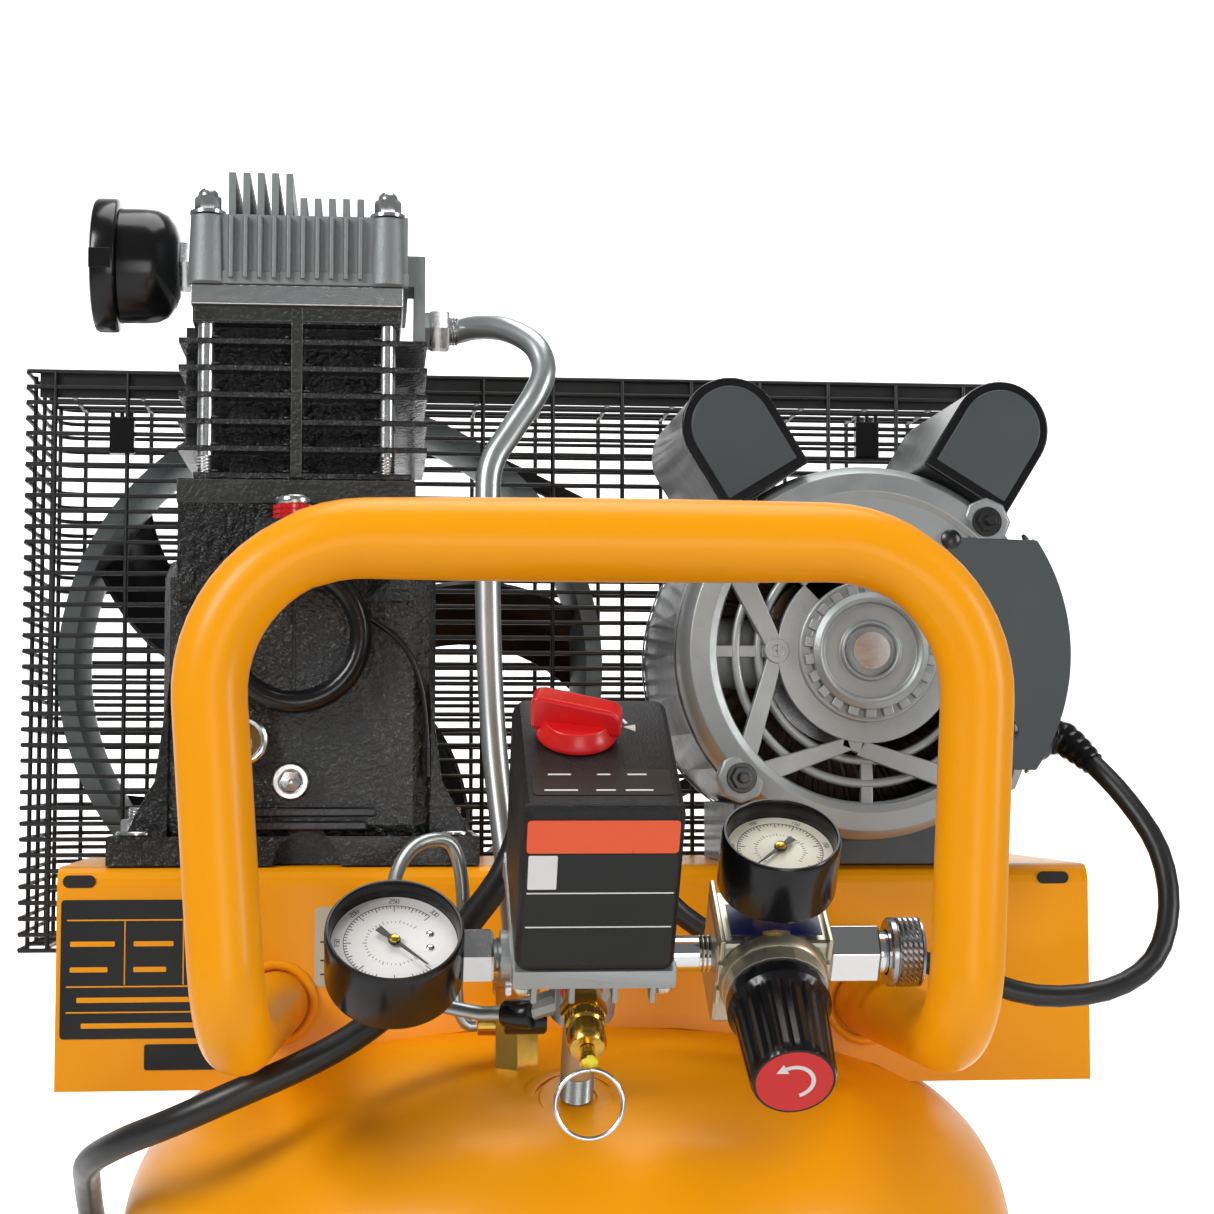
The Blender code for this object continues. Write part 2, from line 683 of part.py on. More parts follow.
def add_pump_tubes(dome):
    nut_end = PUMP_X + 64 * MM + 4 * GAP
    route = [
        (nut_end, -20 * MM, 1214.5 * MM),
        (nut_end + 7 * MM, -20 * MM, 1214.5 * MM),
        (-45 * MM, -28 * MM, 1215 * MM),
        (-32 * MM, -42 * MM, 1212 * MM),
        (-20 * MM, -55 * MM, 1203 * MM),
        (-16 * MM, -62 * MM, 1191 * MM),
        (-20 * MM, -66 * MM, 1179 * MM),
        (-31 * MM, -68 * MM, 1162 * MM),
        (-39.5 * MM, -70 * MM, 1147 * MM),
        (-41 * MM, -72 * MM, 1125 * MM),
        (-40.5 * MM, -76 * MM, 1070 * MM),
        (-38 * MM, -82 * MM, 1022 * MM),
        (-33 * MM, -94 * MM, 975 * MM),
        (-30 * MM, -103.5 * MM, 944 * MM),
        (-30 * MM, -104 * MM, 934 * MM),
        (-30 * MM, -104 * MM, 926.3 * MM),
    ]
    tube("discharge_tube", smooth_path(route, 14 * MM), 5.5 * MM, ALUMINIUM)
    foot = Vector((-30 * MM, -104 * MM, 880 * MM))
    valve = rod("check_valve", foot, foot + UP * (46 * MM - GAP), 10 * MM, BRASS, sides=6)
    port = foot + UP * 30 * MM
    join(valve, rod("join_unloader_port", port, port - RIGHT * 16 * MM, 4.5 * MM))
    cut(valve, dome)
    unloader = [
        (-46.5 * MM, -104 * MM, 910 * MM),
        (-51 * MM, -104 * MM, 911 * MM),
        (-55 * MM, -105 * MM, 925 * MM),
        (-52 * MM, -101 * MM, 960 * MM),
        (-57 * MM, -103 * MM, 984 * MM),
        (-72 * MM, -112 * MM, 984 * MM),
        (-81 * MM, -126 * MM, 969 * MM),
        (-80 * MM, -143 * MM, 943 * MM),
        (-68 * MM, -154 * MM, 926 * MM),
        (-50 * MM, -163 * MM, 921 * MM),
        (-42 * MM, -167.5 * MM, 921 * MM),
        (-37 * MM, -170.3 * MM, 921 * MM),
    ]
    tube("unloader_tube", smooth_path(unloader, 9 * MM), 2.9 * MM, ALUMINIUM)


# Drive -------------------------------------------------------------------------------------------------------


def belt_loop(inset):
    """The belt's outline round both wheels, in (x, z), drawn in by the inset."""
    large = FLYWHEEL_RADIUS - GROOVE_DEPTH + BELT_DEPTH + 0.4 * MM - inset
    small = PULLEY_RADIUS - GROOVE_DEPTH + BELT_DEPTH + 0.4 * MM - inset
    span = Vector((MOTOR_X - CRANK_X, MOTOR_Z - CRANK_Z))
    lean = math.asin((large - small) / span.length)
    points = []
    for centre, radius, start, sweep in (
        ((CRANK_X, CRANK_Z), large, math.pi / 2 - lean, math.pi + 2 * lean),
        ((MOTOR_X, MOTOR_Z), small, 1.5 * math.pi + lean, math.pi - 2 * lean),
    ):
        count = 28 if radius == large else 12
        for i in range(count + 1):
            angle = start + sweep * i / count
            points.append((centre[0] + radius * math.cos(angle), centre[1] + radius * math.sin(angle)))
    return points


def add_belt():
    curve = bpy.data.curves.new("drive_belt", "CURVE")
    curve.dimensions = "2D"
    curve.fill_mode = "BOTH"
    curve.extrude = BELT_WIDTH / 2
    for inset in (0, BELT_DEPTH):
        loop = belt_loop(inset)
        spline = curve.splines.new("POLY")
        spline.points.add(len(loop) - 1)
        for point, (x, z) in zip(spline.points, loop):
            point.co = (x, z, 0, 1)
        spline.use_cyclic_u = True
    belt = add_object("drive_belt", curve, RUBBER, (0, BELT_Y, 0))
    belt.rotation_euler.x = math.radians(90)


def motor_rod(name, start, end, radius, material=None, origin=None, sides=32):
    axis = Vector((MOTOR_X, 0, MOTOR_Z))
    return rod(name, axis + BACK * start, axis + BACK * end, radius, material, origin, sides)


def motor_ring(name, outline, material, origin=None, steps=28):
    """A ring about the motor's axis, from (radius, y) points."""
    axis = Vector((MOTOR_X, 0, MOTOR_Z))
    return turned(name, outline, axes_matrix(axis, BACK), material, origin, steps)


def add_motor():
    wall = 3 * MM
    inside = MOTOR_RADIUS - wall
    bearing = SHAFT_RADIUS + GAP
    front = BELL_REAR + GAP
    rear = SHELL_REAR
    shell = motor_ring(
        "motor_shell",
        [(inside, front), (MOTOR_RADIUS, front), (MOTOR_RADIUS, rear - 10 * MM), (70 * MM, rear), (bearing, rear)]
        + [(bearing, rear - 6 * MM), (inside, rear - 12 * MM)],
        DARK_GREY,
    )
    foot = box("join_motor_foot", (70 * MM, -48 * MM, DECK_TOP + GAP), (180 * MM, 50 * MM, 1000 * MM))
    cut(foot, motor_rod("cutter_foot", -70 * MM, 80 * MM, inside + 1 * MM))
    join(shell, foot)
    motor_ring(
        "motor_front_bell",
        [(bearing, MOTOR_FRONT), (24 * MM, MOTOR_FRONT), (30 * MM, MOTOR_FRONT + 4 * MM)]
        + [(74 * MM, MOTOR_FRONT + 4 * MM), (MOTOR_RADIUS, MOTOR_FRONT + 10 * MM), (MOTOR_RADIUS, BELL_REAR)]
        + [(inside, BELL_REAR), (inside, MOTOR_FRONT + 14 * MM), (bearing, MOTOR_FRONT + 9 * MM)],
        LIGHT_GREY,
    )
    motor_ring(
        "motor_stator",
        [(42 * MM, -36 * MM), (inside - GAP, -36 * MM), (inside - GAP, 44 * MM), (42 * MM, 44 * MM)],
        COPPER,
    )
    axis = Vector((MOTOR_X, 0, MOTOR_Z))
    rotor = motor_rod("motor_rotor", MOTOR_FRONT + 2 * MM, 152 * MM, SHAFT_RADIUS, STEEL, axis, 24)
    join(rotor, motor_rod("join_rotor_core", -34 * MM, 42 * MM, 41 * MM))


def add_pulley():
    half = 13 * MM
    groove = BELT_WIDTH / 2 + 0.5 * MM
    floor = PULLEY_RADIUS - GROOVE_DEPTH
    bore = SHAFT_RADIUS + GAP
    outline = [
        (PULLEY_RADIUS, half),
        (PULLEY_RADIUS, groove),
        (floor, groove),
        (floor, -groove),
        (PULLEY_RADIUS, -groove),
        (PULLEY_RADIUS, -half),
        (bore, -half),
        (bore, half),
    ]
    centre = Vector((MOTOR_X, BELT_Y, MOTOR_Z))
    turned("motor_pulley", outline, axes_matrix(centre, BACK), STEEL, centre, 24)


def add_motor_covers():
    clearance = motor_rod("cutter_covers", -100 * MM, 100 * MM, MOTOR_RADIUS + 4 * GAP)
    for side, sign in (("left", -1), ("right", 1)):
        away = Vector((sign * math.sin(CAPACITOR_ANGLE), 0, math.cos(CAPACITOR_ANGLE)))
        matrix = axes_matrix(Vector((MOTOR_X, 0, MOTOR_Z)), away, BACK)
        low = (-80 * MM, -CAPACITOR_RADIUS, 70 * MM)
        high = (40 * MM, CAPACITOR_RADIUS, CAPACITOR_REACH)
        cover = box(f"capacitor_cover_{side}", low, high, DARK_GREY, matrix=matrix)
        centre = Vector((MOTOR_X, 0, MOTOR_Z)) + away * CAPACITOR_REACH
        start = centre - BACK * 80 * MM
        join(cover, rod(f"join_capacitor_{side}", start, start + BACK * 120 * MM, CAPACITOR_RADIUS))
        cut(cover, clearance)
    box_low = (175 * MM, -84 * MM, 1006 * MM)
    wiring = box("wiring_cover", box_low, (215 * MM, 30 * MM, 1112 * MM), DARK_GREY, bevel=4 * MM)
    cut(wiring, clearance)


# Belt guard --------------------------------------------------------------------------------------------------


def bar(name, start, end):
    """A square bar between two corners that differ along one axis."""
    half = GUARD_BAR / 2
    low = [min(a, b) - half for a, b in zip(start, end)]
    high = [max(a, b) + half for a, b in zip(start, end)]
    return box(name, low, high)


def spread_places(low, high, count):
    return [low + (high - low) * i / (count - 1) for i in range(count)]


def add_inner_guard():
    y = GUARD_FRONT + GUARD_BAR / 2
    half = GUARD_BAR / 2
    low = (GUARD_LEFT, y - half, GUARD_BOTTOM)
    frame = box("belt_guard_inner", low, (GUARD_RIGHT, y + half, GUARD_TOP), CAST_BLACK)
    columns = spread_places(GUARD_LEFT + GUARD_BAR, GUARD_RIGHT - GUARD_BAR, 6)
    rows = spread_places(GUARD_BOTTOM + GUARD_BAR, GUARD_TOP - GUARD_BAR, 4)
    for i, (left, right) in enumerate(zip(columns, columns[1:])):
        for j, (bottom, top) in enumerate(zip(rows, rows[1:])):
            window_low = (left + half, y - 5 * MM, bottom + half)
            cut(frame, box(f"cutter_inner_{i}_{j}", window_low, (right - half, y + 5 * MM, top - half)))
    for name, x, z, radius in (
        ("cutter_inner_crank", CRANK_X, CRANK_Z, CRANK_RADIUS),
        ("cutter_inner_motor", MOTOR_X, MOTOR_Z, SHAFT_RADIUS),
    ):
        cut(frame, rod(name, (x, y - 9 * MM, z), (x, y + 9 * MM, z), radius + 4 * MM))


def add_outer_guard():
    front = GUARD_FRONT + GUARD_BAR + GAP
    outer = box("belt_guard_outer", (GUARD_LEFT, front, GUARD_BOTTOM), (GUARD_RIGHT, GUARD_REAR, GUARD_TOP), CAST_BLACK)
    thick = GUARD_BAR
    inside_low = (GUARD_LEFT + thick, front - 5 * MM, GUARD_BOTTOM + thick)
    inside_high = (GUARD_RIGHT - thick, GUARD_REAR - thick, GUARD_TOP - thick)
    cut(outer, box("cutter_outer_inside", inside_low, inside_high))
    columns = spread_places(GUARD_LEFT + 1.5 * thick, GUARD_RIGHT - 1.5 * thick, 6)
    rows = spread_places(GUARD_BOTTOM + 1.5 * thick, GUARD_TOP - 1.5 * thick, 4)
    depths = spread_places(front + thick, GUARD_REAR - 1.5 * thick, 2)
    half = thick / 2
    for i, (left, right) in enumerate(zip(columns, columns[1:])):
        for j, (bottom, top) in enumerate(zip(rows, rows[1:])):
            window = (left + half, GUARD_REAR - 10 * MM, bottom + half)
            cut(outer, box(f"cutter_rear_{i}_{j}", window, (right - half, GUARD_REAR + 10 * MM, top - half)))
        for j, (near, far) in enumerate(zip(depths, depths[1:])):
            window = (left + half, near + half, GUARD_BOTTOM - 10 * MM)
            cut(outer, box(f"cutter_lid_{i}_{j}", window, (right - half, far - half, GUARD_TOP + 10 * MM)))
    for i, (bottom, top) in enumerate(zip(rows, rows[1:])):
        for j, (near, far) in enumerate(zip(depths, depths[1:])):
            window = (GUARD_LEFT - 10 * MM, near + half, bottom + half)
            cut(outer, box(f"cutter_side_{i}_{j}", window, (GUARD_RIGHT + 10 * MM, far - half, top - half)))


# Controls ----------------------------------------------------------------------------------------------------


def on_pipe(along, out=0.0, side=0.0):
    """A point of the controls: along the pipe, out from it to the front, and sideways."""
    return PIPE_FOOT + PIPE_UP * along + PIPE_OUT * out + RIGHT * side


def pipe_matrix():
    return axes_matrix(PIPE_FOOT, PIPE_UP)


def add_switch():
    rod("tank_pipe", on_pipe(BUNG_TOP + GAP), on_pipe(PIPE_END - GAP), PIPE_RADIUS, STEEL)
    base = box(
        "switch_base",
        (-30 * MM, -38 * MM, 90 * MM),
        (30 * MM, 38 * MM, BASE_TOP),
        CAST_GREY,
        matrix=pipe_matrix(),
    )
    line = Vector((0, LINE_Y, LINE_Z))
    left = line + RIGHT * -41 * MM
    right = line + RIGHT * 17 * MM
    ports = rod("join_side_ports", left, right, 9.5 * MM)
    block = rod("join_port_block", on_pipe(PIPE_END), on_pipe(93 * MM), 13 * MM)
    front_start = on_pipe(PORT_AT - 4 * MM)
    front = rod("join_front_port", front_start, front_start + VALVE_OUT * 14 * MM, 10 * MM)
    unloader = Vector((-35 * MM, -171 * MM, 921 * MM))
    elbow = rod("join_unloader_elbow", unloader, on_pipe(58 * MM), 5 * MM, sides=10)
    join(base, block, ports, front, elbow)
    cover = box(
        "switch_cover",
        (-29.5 * MM, -38 * MM, BASE_TOP + GAP),
        (29.5 * MM, 38 * MM, COVER_TOP),
        BLACK,
        matrix=pipe_matrix(),
        bevel=5 * MM,
    )
    hollow_low = (-26 * MM, -34 * MM, BASE_TOP - 10 * MM)
    hollow = box("cutter_cover", hollow_low, (26 * MM, 34 * MM, COVER_TOP - 3 * MM), matrix=pipe_matrix())
    cut(cover, hollow)
    lead_seat = on_pipe(118 * MM, -36 * MM, 12 * MM)
    join(cover, rod("join_motor_lead_gland", lead_seat, lead_seat - PIPE_OUT * 11.5 * MM, 8.5 * MM))
    cord_seat = on_pipe(CORD_EXIT, -38 * MM - GAP, -14 * MM)
    rod("power_cord_gland", cord_seat, cord_seat - PIPE_OUT * 9.5 * MM, 8.5 * MM, BLACK)
    knob_at = on_pipe(COVER_TOP + GAP, -10 * MM, -7 * MM)
    knob = rod("switch_knob", knob_at, knob_at + PIPE_UP * 7 * MM, 15 * MM, RED, knob_at)
    grip = axes_matrix(knob_at, PIPE_UP) @ Matrix.Rotation(math.radians(-12), 4, "Z")
    join(knob, box("join_knob_grip", (-17 * MM, -5 * MM, 4 * MM), (17 * MM, 5 * MM, 16 * MM), matrix=grip))


def gauge(name, centre, out, radius, back, front, stem_start, stem_radius):
    """A pressure gauge: an open case with a dial floor, a stem, and a pointer that turns over the dial."""
    lip = radius - 3.5 * MM
    floor = front - 7 * MM
    outline = [
        (0, back),
        (radius - 3 * MM, back),
        (radius - 1 * MM, back + 3 * MM),
        (radius - 1 * MM, front - 5 * MM),
        (radius, front - 5 * MM),
        (radius, front),
        (lip, front),
        (lip, floor),
        (0, floor),
    ]
    case = turned(name, outline, axes_matrix(centre, out), BLACK, steps=28)
    inside = RIGHT * (radius - 2.2 * MM)
    inner_end = centre + out * (back + 3 * MM) if stem_start is None else centre + inside
    start = centre + out * (16 * MM + GAP) if stem_start is None else stem_start
    join(case, rod(f"join_{name}_stem", start, inner_end, stem_radius, sides=6))
    hub = centre + out * (floor + 1 * MM)
    pointer = rod(f"{name}_pointer", hub, hub + out * 1.5 * MM, 2.2 * MM, BLACK, hub, 12)
    reach = lip - 4 * MM
    low = (-1 * MM, -0.35 * reach, 0.3 * MM)
    join(pointer, box(f"join_{name}_hand", low, (1 * MM, reach, 1.1 * MM), matrix=axes_matrix(hub, out)))


def add_gauges():
    stem = Vector((-41 * MM - GAP, LINE_Y, LINE_Z))
    gauge("tank_gauge", GAUGE_CENTRE, GAUGE_OUT, GAUGE_RADIUS, -13 * MM, 15 * MM, stem, 10 * MM)
    radius = REGULATOR_GAUGE_RADIUS
    gauge("regulator_gauge", REGULATOR_CENTRE, REGULATOR_UP, radius, 32 * MM, 58 * MM, None, 7 * MM)


def add_regulator():
    matrix = axes_matrix(REGULATOR_CENTRE, REGULATOR_UP)
    body = box(
        "regulator_body",
        (-22.3 * MM, -13.4 * MM, -24 * MM),
        (22.3 * MM, 19 * MM, 16 * MM),
        CHAMPAGNE,
        matrix=matrix,
        bevel=2 * MM,
    )
    nipple_start = Vector((17 * MM + GAP, LINE_Y, LINE_Z))
    nipple = rod("join_regulator_nipple", nipple_start, REGULATOR_CENTRE, PIPE_RADIUS)
    bonnet_start = REGULATOR_CENTRE + KNOB_OUT * 10 * MM
    bonnet = rod("join_bonnet", bonnet_start, REGULATOR_CENTRE + KNOB_OUT * 26 * MM, 20 * MM)
    join(body, nipple, bonnet)
    start = REGULATOR_CENTRE + KNOB_OUT * 24 * MM
    cut(body, rod("cutter_spindle_seat", start, start + KNOB_OUT * 10 * MM, 5 * MM))
    seat = REGULATOR_CENTRE + KNOB_OUT * (24 * MM + GAP)
    rod("regulator_spindle", seat, seat + KNOB_OUT * 34 * MM, 4 * MM, STEEL, seat, 12)
    foot = REGULATOR_CENTRE + KNOB_OUT * (26 * MM + GAP)
    outline = [
        (4.4 * MM, 0),
        (20 * MM, 0),
        (18.5 * MM, 12 * MM),
        (16 * MM, 43 * MM),
        (14 * MM, 45 * MM),
        (0, 45 * MM),
        (0, 34 * MM),
        (4.4 * MM, 34 * MM),
    ]
    turned("regulator_knob", outline, axes_matrix(foot, KNOB_OUT), BLACK, foot, 24)


def add_coupler():
    line = Vector((0, LINE_Y, LINE_Z))
    start = line + RIGHT * (84.5 * MM + GAP)
    body = rod("coupler_body", start, line + RIGHT * 105 * MM, 12.3 * MM, STEEL, sides=6)
    join(body, rod("join_coupler_stem", line + RIGHT * 103 * MM, line + RIGHT * 120 * MM, 8 * MM))
    inner = 8 * MM + GAP
    outline = [(inner, 0), (13.5 * MM, 0), (13.5 * MM, 13.5 * MM), (inner, 13.5 * MM)]
    sleeve = line + RIGHT * 108.7 * MM
    turned("coupler_sleeve", outline, axes_matrix(sleeve, RIGHT, UP), STEEL, sleeve, 28)


def add_safety_valve():
    origin = on_pipe(PORT_AT - 4 * MM, 0, -2 * MM)
    start = origin + VALVE_OUT * (14 * MM + GAP)
    middle = origin + VALVE_OUT * 26 * MM
    end = origin + VALVE_OUT * 46 * MM
    body = rod("safety_valve_body", start, end, 8.5 * MM, BRASS)
    join(body, rod("join_valve_hex", middle, middle + VALVE_OUT * 9 * MM, 10.5 * MM, sides=6))
    stem_start = end + VALVE_OUT * GAP
    stem_end = end + VALVE_OUT * 9 * MM
    rod("safety_valve_stem", stem_start, stem_end, 3 * MM, BRASS, stem_start, 12)
    ring_radius = 12.5 * MM
    wire = 0.9 * MM
    top = stem_end + VALVE_OUT * 1.5 * MM
    centre = top - UP * ring_radius
    outline = []
    for i in range(6):
        angle = math.tau * i / 6
        outline.append((ring_radius + wire * math.cos(angle), wire * math.sin(angle)))
    turned("safety_valve_ring", outline, axes_matrix(centre, BACK), STEEL, top, 20)


# Cords -------------------------------------------------------------------------------------------------------


def add_motor_lead():
    route = [
        (215.8 * MM, -40 * MM, 1030 * MM),
        (222 * MM, -41 * MM, 1029 * MM),
        (232 * MM, -52 * MM, 1018 * MM),
        (243 * MM, -68 * MM, 1001 * MM),
        (252 * MM, -82 * MM, 980 * MM),
        (252 * MM, -94 * MM, 956 * MM),
        (242 * MM, -102 * MM, 934 * MM),
        (220 * MM, -106 * MM, 922 * MM),
        (190 * MM, -105 * MM, 920 * MM),
        (162 * MM, -101 * MM, 928 * MM),
        (130 * MM, -98 * MM, 937 * MM),
        (95 * MM, -96 * MM, 938 * MM),
        (62 * MM, -96 * MM, 942 * MM),
        (34 * MM, -98 * MM, 960 * MM),
        (18 * MM, -104 * MM, 990 * MM),
        (12 * MM, -120 * MM, 1015 * MM),
        tuple(on_pipe(119 * MM, -66 * MM, 12 * MM)),
        tuple(on_pipe(118 * MM, -56 * MM, 12 * MM)),
        tuple(on_pipe(118 * MM, -48.4 * MM, 12 * MM)),
    ]
    tube("motor_lead", smooth_path(route, 13 * MM), 4.65 * MM, RUBBER)


CORD_RADIUS = 5.8 * MM
CORD_EXIT = 145 * MM


def power_cord_route():
    """From the gland over a wide arc behind the switch, down across the dome, and along the floor to the plug."""
    return [
        tuple(on_pipe(CORD_EXIT, -48.5 * MM, -14 * MM)),
        (-22.3 * MM, -168 * MM, 1032.6 * MM),
        (-22.3 * MM, -158.9 * MM, 1035 * MM),
        (-22.4 * MM, -138.5 * MM, 1034 * MM),
        (-23 * MM, -120.5 * MM, 1024 * MM),
        (-25 * MM, -108.5 * MM, 1006.5 * MM),
        (-29.5 * MM, -106 * MM, 986 * MM),
        (-37 * MM, -110 * MM, 970 * MM),
        (-47 * MM, -115 * MM, 957 * MM),
        (-61 * MM, -121.5 * MM, 940 * MM),
        (-78 * MM, -128 * MM, 922.5 * MM),
        (-98 * MM, -134 * MM, 908 * MM),
        (-120 * MM, -138.5 * MM, 897 * MM),
        (-144 * MM, -140 * MM, 887 * MM),
        (-168 * MM, -133 * MM, 876 * MM),
        (-190 * MM, -112 * MM, 865 * MM),
        (-206 * MM, -76 * MM, 852 * MM),
        (-212 * MM, -30 * MM, 836 * MM),
        (-214 * MM, 20 * MM, 806 * MM),
        (-208 * MM, 66 * MM, 750 * MM),
        (-196 * MM, 106 * MM, 660 * MM),
        (-182 * MM, 138 * MM, 520 * MM),
        (-172 * MM, 156 * MM, 360 * MM),
        (-167 * MM, 165 * MM, 200 * MM),
        (-163 * MM, 171 * MM, 110 * MM),
        (-155 * MM, 180 * MM, 58 * MM),
        (-137 * MM, 193 * MM, 24 * MM),
        (-110 * MM, 204 * MM, 8.5 * MM),
        (-80 * MM, 211 * MM, CORD_RADIUS + 0.4 * MM),
        (-30 * MM, 216 * MM, CORD_RADIUS + 0.4 * MM),
        (30 * MM, 218 * MM, CORD_RADIUS + 0.4 * MM),
        (85 * MM, 215 * MM, CORD_RADIUS + 0.4 * MM),
        (132 * MM, 203 * MM, CORD_RADIUS + 0.4 * MM),
        (166 * MM, 178 * MM, CORD_RADIUS + 0.4 * MM),
        (182 * MM, 144 * MM, CORD_RADIUS + 0.4 * MM),
        (184 * MM, 108 * MM, CORD_RADIUS + 1.4 * MM),
    ]


def add_power_cord():
    path = smooth_path(power_cord_route(), 32 * MM)
    tube("power_cord", path, CORD_RADIUS, RUBBER)
    ahead = (path[-1] - path[-2]).normalized()
    ahead.z = 0
    start = path[-1] + ahead * GAP * 2
    start.z = 15.5 * MM
    plug = rod("power_plug", start, start + ahead * 38 * MM, 13 * MM, BLACK, end_radius=15 * MM)
    side = ahead.cross(UP)
    for name, offset, radius in (
        ("join_prong_left", side * 6 * MM, 2.2 * MM),
        ("join_prong_right", side * -6 * MM, 2.2 * MM),
        ("join_prong_earth", UP * 8 * MM, 2.4 * MM),
    ):
        foot = start + ahead * 34 * MM + offset
        join(plug, rod(name, foot, foot + ahead * 24 * MM, radius, sides=12))


def build():
    dome = tank_cutter()
    add_tank()
    add_drain()
    add_deck(dome)
    add_handle()
    add_rear_foot(dome)
    for side, sign in (("left", -1), ("right", 1)):
        add_axle_bracket(side, sign, dome)
        add_wheel(side, sign)
    studs = stud_cutters()
    add_crankcase()
    add_crankcase_fittings()
    add_cylinder_block(studs)
    add_head(studs)
    add_studs()
    add_piston()
    add_crankshaft()
    add_flywheel()
    add_filter()
    add_pump_tubes(dome)
    add_belt()
    add_motor()
    add_pulley()
    add_motor_covers()
    add_inner_guard()
    add_outer_guard()
    add_switch()
    add_gauges()
    add_regulator()
    add_coupler()
    add_safety_valve()
    add_motor_lead()
    add_power_cord()


build()
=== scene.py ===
"""Looks of an upright belt-drive air compressor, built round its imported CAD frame.

Shapes are written in millimetres about the tank's axis and baked into the row's frame in metres.
"""

from math import asin, cos, pi, radians, sin, sqrt, tan, tau

import bmesh
import bpy
from mathutils import Matrix, Vector


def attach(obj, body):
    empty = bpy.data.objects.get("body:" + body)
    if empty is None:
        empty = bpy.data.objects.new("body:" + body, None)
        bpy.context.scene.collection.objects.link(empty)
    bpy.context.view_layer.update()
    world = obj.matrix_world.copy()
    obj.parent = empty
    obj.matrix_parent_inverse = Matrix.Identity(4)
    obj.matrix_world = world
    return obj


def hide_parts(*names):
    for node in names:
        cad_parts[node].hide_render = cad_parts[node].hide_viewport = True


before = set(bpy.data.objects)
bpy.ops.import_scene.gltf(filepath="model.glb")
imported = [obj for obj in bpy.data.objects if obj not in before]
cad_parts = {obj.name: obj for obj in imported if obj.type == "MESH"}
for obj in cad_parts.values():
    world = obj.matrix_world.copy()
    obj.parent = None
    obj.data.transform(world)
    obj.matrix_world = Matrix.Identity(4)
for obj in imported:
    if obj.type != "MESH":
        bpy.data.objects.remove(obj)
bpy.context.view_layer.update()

MM = 0.001
AXIS_Y = 0.0182  # where the tank's axis stands in the row's frame, in metres
ROW = Matrix.Translation((0, AXIS_Y, 0)) @ Matrix.Scale(MM, 4)
NONE = Matrix()
UP = Vector((0, 0, 1))
RIGHT = Vector((1, 0, 0))
BACK = Vector((0, 1, 0))
MOTOR_X, WHEEL_X, SHAFT_Z, BELT_Y = 124.5, -110, 1066.6, 137  # the motor, the flywheel, and the belt between them
LINE_Y, LINE_Z = -182, 944.5  # the line of fittings: tank gauge, regulator and outlet
TANK_RADIUS = 200
FRONT = Matrix(((1, 0, 0, 0), (0, 0, -1, 0), (0, 1, 0, 0), (0, 0, 0, 1)))

# Camera

scene = bpy.context.scene
camera = bpy.data.objects.new("camera", bpy.data.cameras.new("camera"))
camera.data.lens = 71.2
camera.data.sensor_width = 36
camera.data.clip_start = 0.02
camera.location = (-0.091, -1.0878, 1.015)
camera.rotation_euler = (radians(93.885), 0, radians(-5.63))
scene.collection.objects.link(camera)
scene.camera = camera
scene.view_settings.view_transform = "Standard"

# Materials


def surface(name, colour, rough, metal=0.0, grains=(), mottle=0.08, vary=0.08, coat=0.0, mottle_scale=18.0,
            edge=None, stretch=(1, 1, 1), specular=0.5):
    """A procedural finish: broad colour mottle, roughness variation, bump grains (scale, depth in mm), and a painted
    highlight that lightens the colour on sharp convex edges.
    """
    material = bpy.data.materials.new(name)
    material.use_nodes = True
    tree = material.node_tree
    new, link = tree.nodes.new, tree.links.new
    shader = tree.nodes["Principled BSDF"]
    shader.inputs["Metallic"].default_value = metal
    shader.inputs["Coat Weight"].default_value = coat
    shader.inputs["Coat Roughness"].default_value = 0.12
    shader.inputs["Specular IOR Level"].default_value = specular
    coord = new("ShaderNodeTexCoord")
    mapping = new("ShaderNodeMapping")
    mapping.inputs["Scale"].default_value = stretch
    link(coord.outputs["Object"], mapping.inputs["Vector"])

    def noise(scale, detail):
        node = new("ShaderNodeTexNoise")
        node.inputs["Scale"].default_value = scale
        node.inputs["Detail"].default_value = detail
        link(mapping.outputs["Vector"], node.inputs["Vector"])
        return node.outputs["Fac"]

    broad = noise(mottle_scale, 5)
    tint = new("ShaderNodeMix")
    tint.data_type = "RGBA"
    tint.inputs[6].default_value = (*[c * (1 - mottle) for c in colour], 1)
    tint.inputs[7].default_value = (*[min(1, c * (1 + mottle)) for c in colour], 1)
    link(broad, tint.inputs[0])
    result = tint.outputs[2]
    # Painted highlight: where the surface is sharply convex, the colour is mixed towards the lighter edge colour.
    if edge:
        geometry = new("ShaderNodeNewGeometry")
        ramp = new("ShaderNodeMapRange")
        ramp.inputs["From Min"].default_value = 0.53
        ramp.inputs["From Max"].default_value = 0.6
        link(geometry.outputs["Pointiness"], ramp.inputs["Value"])
        edge_highlight = new("ShaderNodeMix")
        edge_highlight.data_type = "RGBA"
        link(ramp.outputs["Result"], edge_highlight.inputs[0])
        link(result, edge_highlight.inputs[6])
        edge_highlight.inputs[7].default_value = (*edge, 1)
        result = edge_highlight.outputs[2]
    link(result, shader.inputs["Base Color"])
    gloss = new("ShaderNodeMapRange")
    gloss.inputs["To Min"].default_value = max(0.02, rough - vary)
    gloss.inputs["To Max"].default_value = min(1, rough + vary)
    link(noise(mottle_scale * 7, 3), gloss.inputs["Value"])
    link(gloss.outputs["Result"], shader.inputs["Roughness"])
    normal = None
    for scale, depth in grains:
        bump = new("ShaderNodeBump")
        bump.inputs["Strength"].default_value = 1
        bump.inputs["Distance"].default_value = depth * MM
        link(noise(scale, 3), bump.inputs["Height"])
        if normal:
            link(normal, bump.inputs["Normal"])
        normal = bump.outputs["Normal"]
    if normal:
        link(normal, shader.inputs["Normal"])
    return material


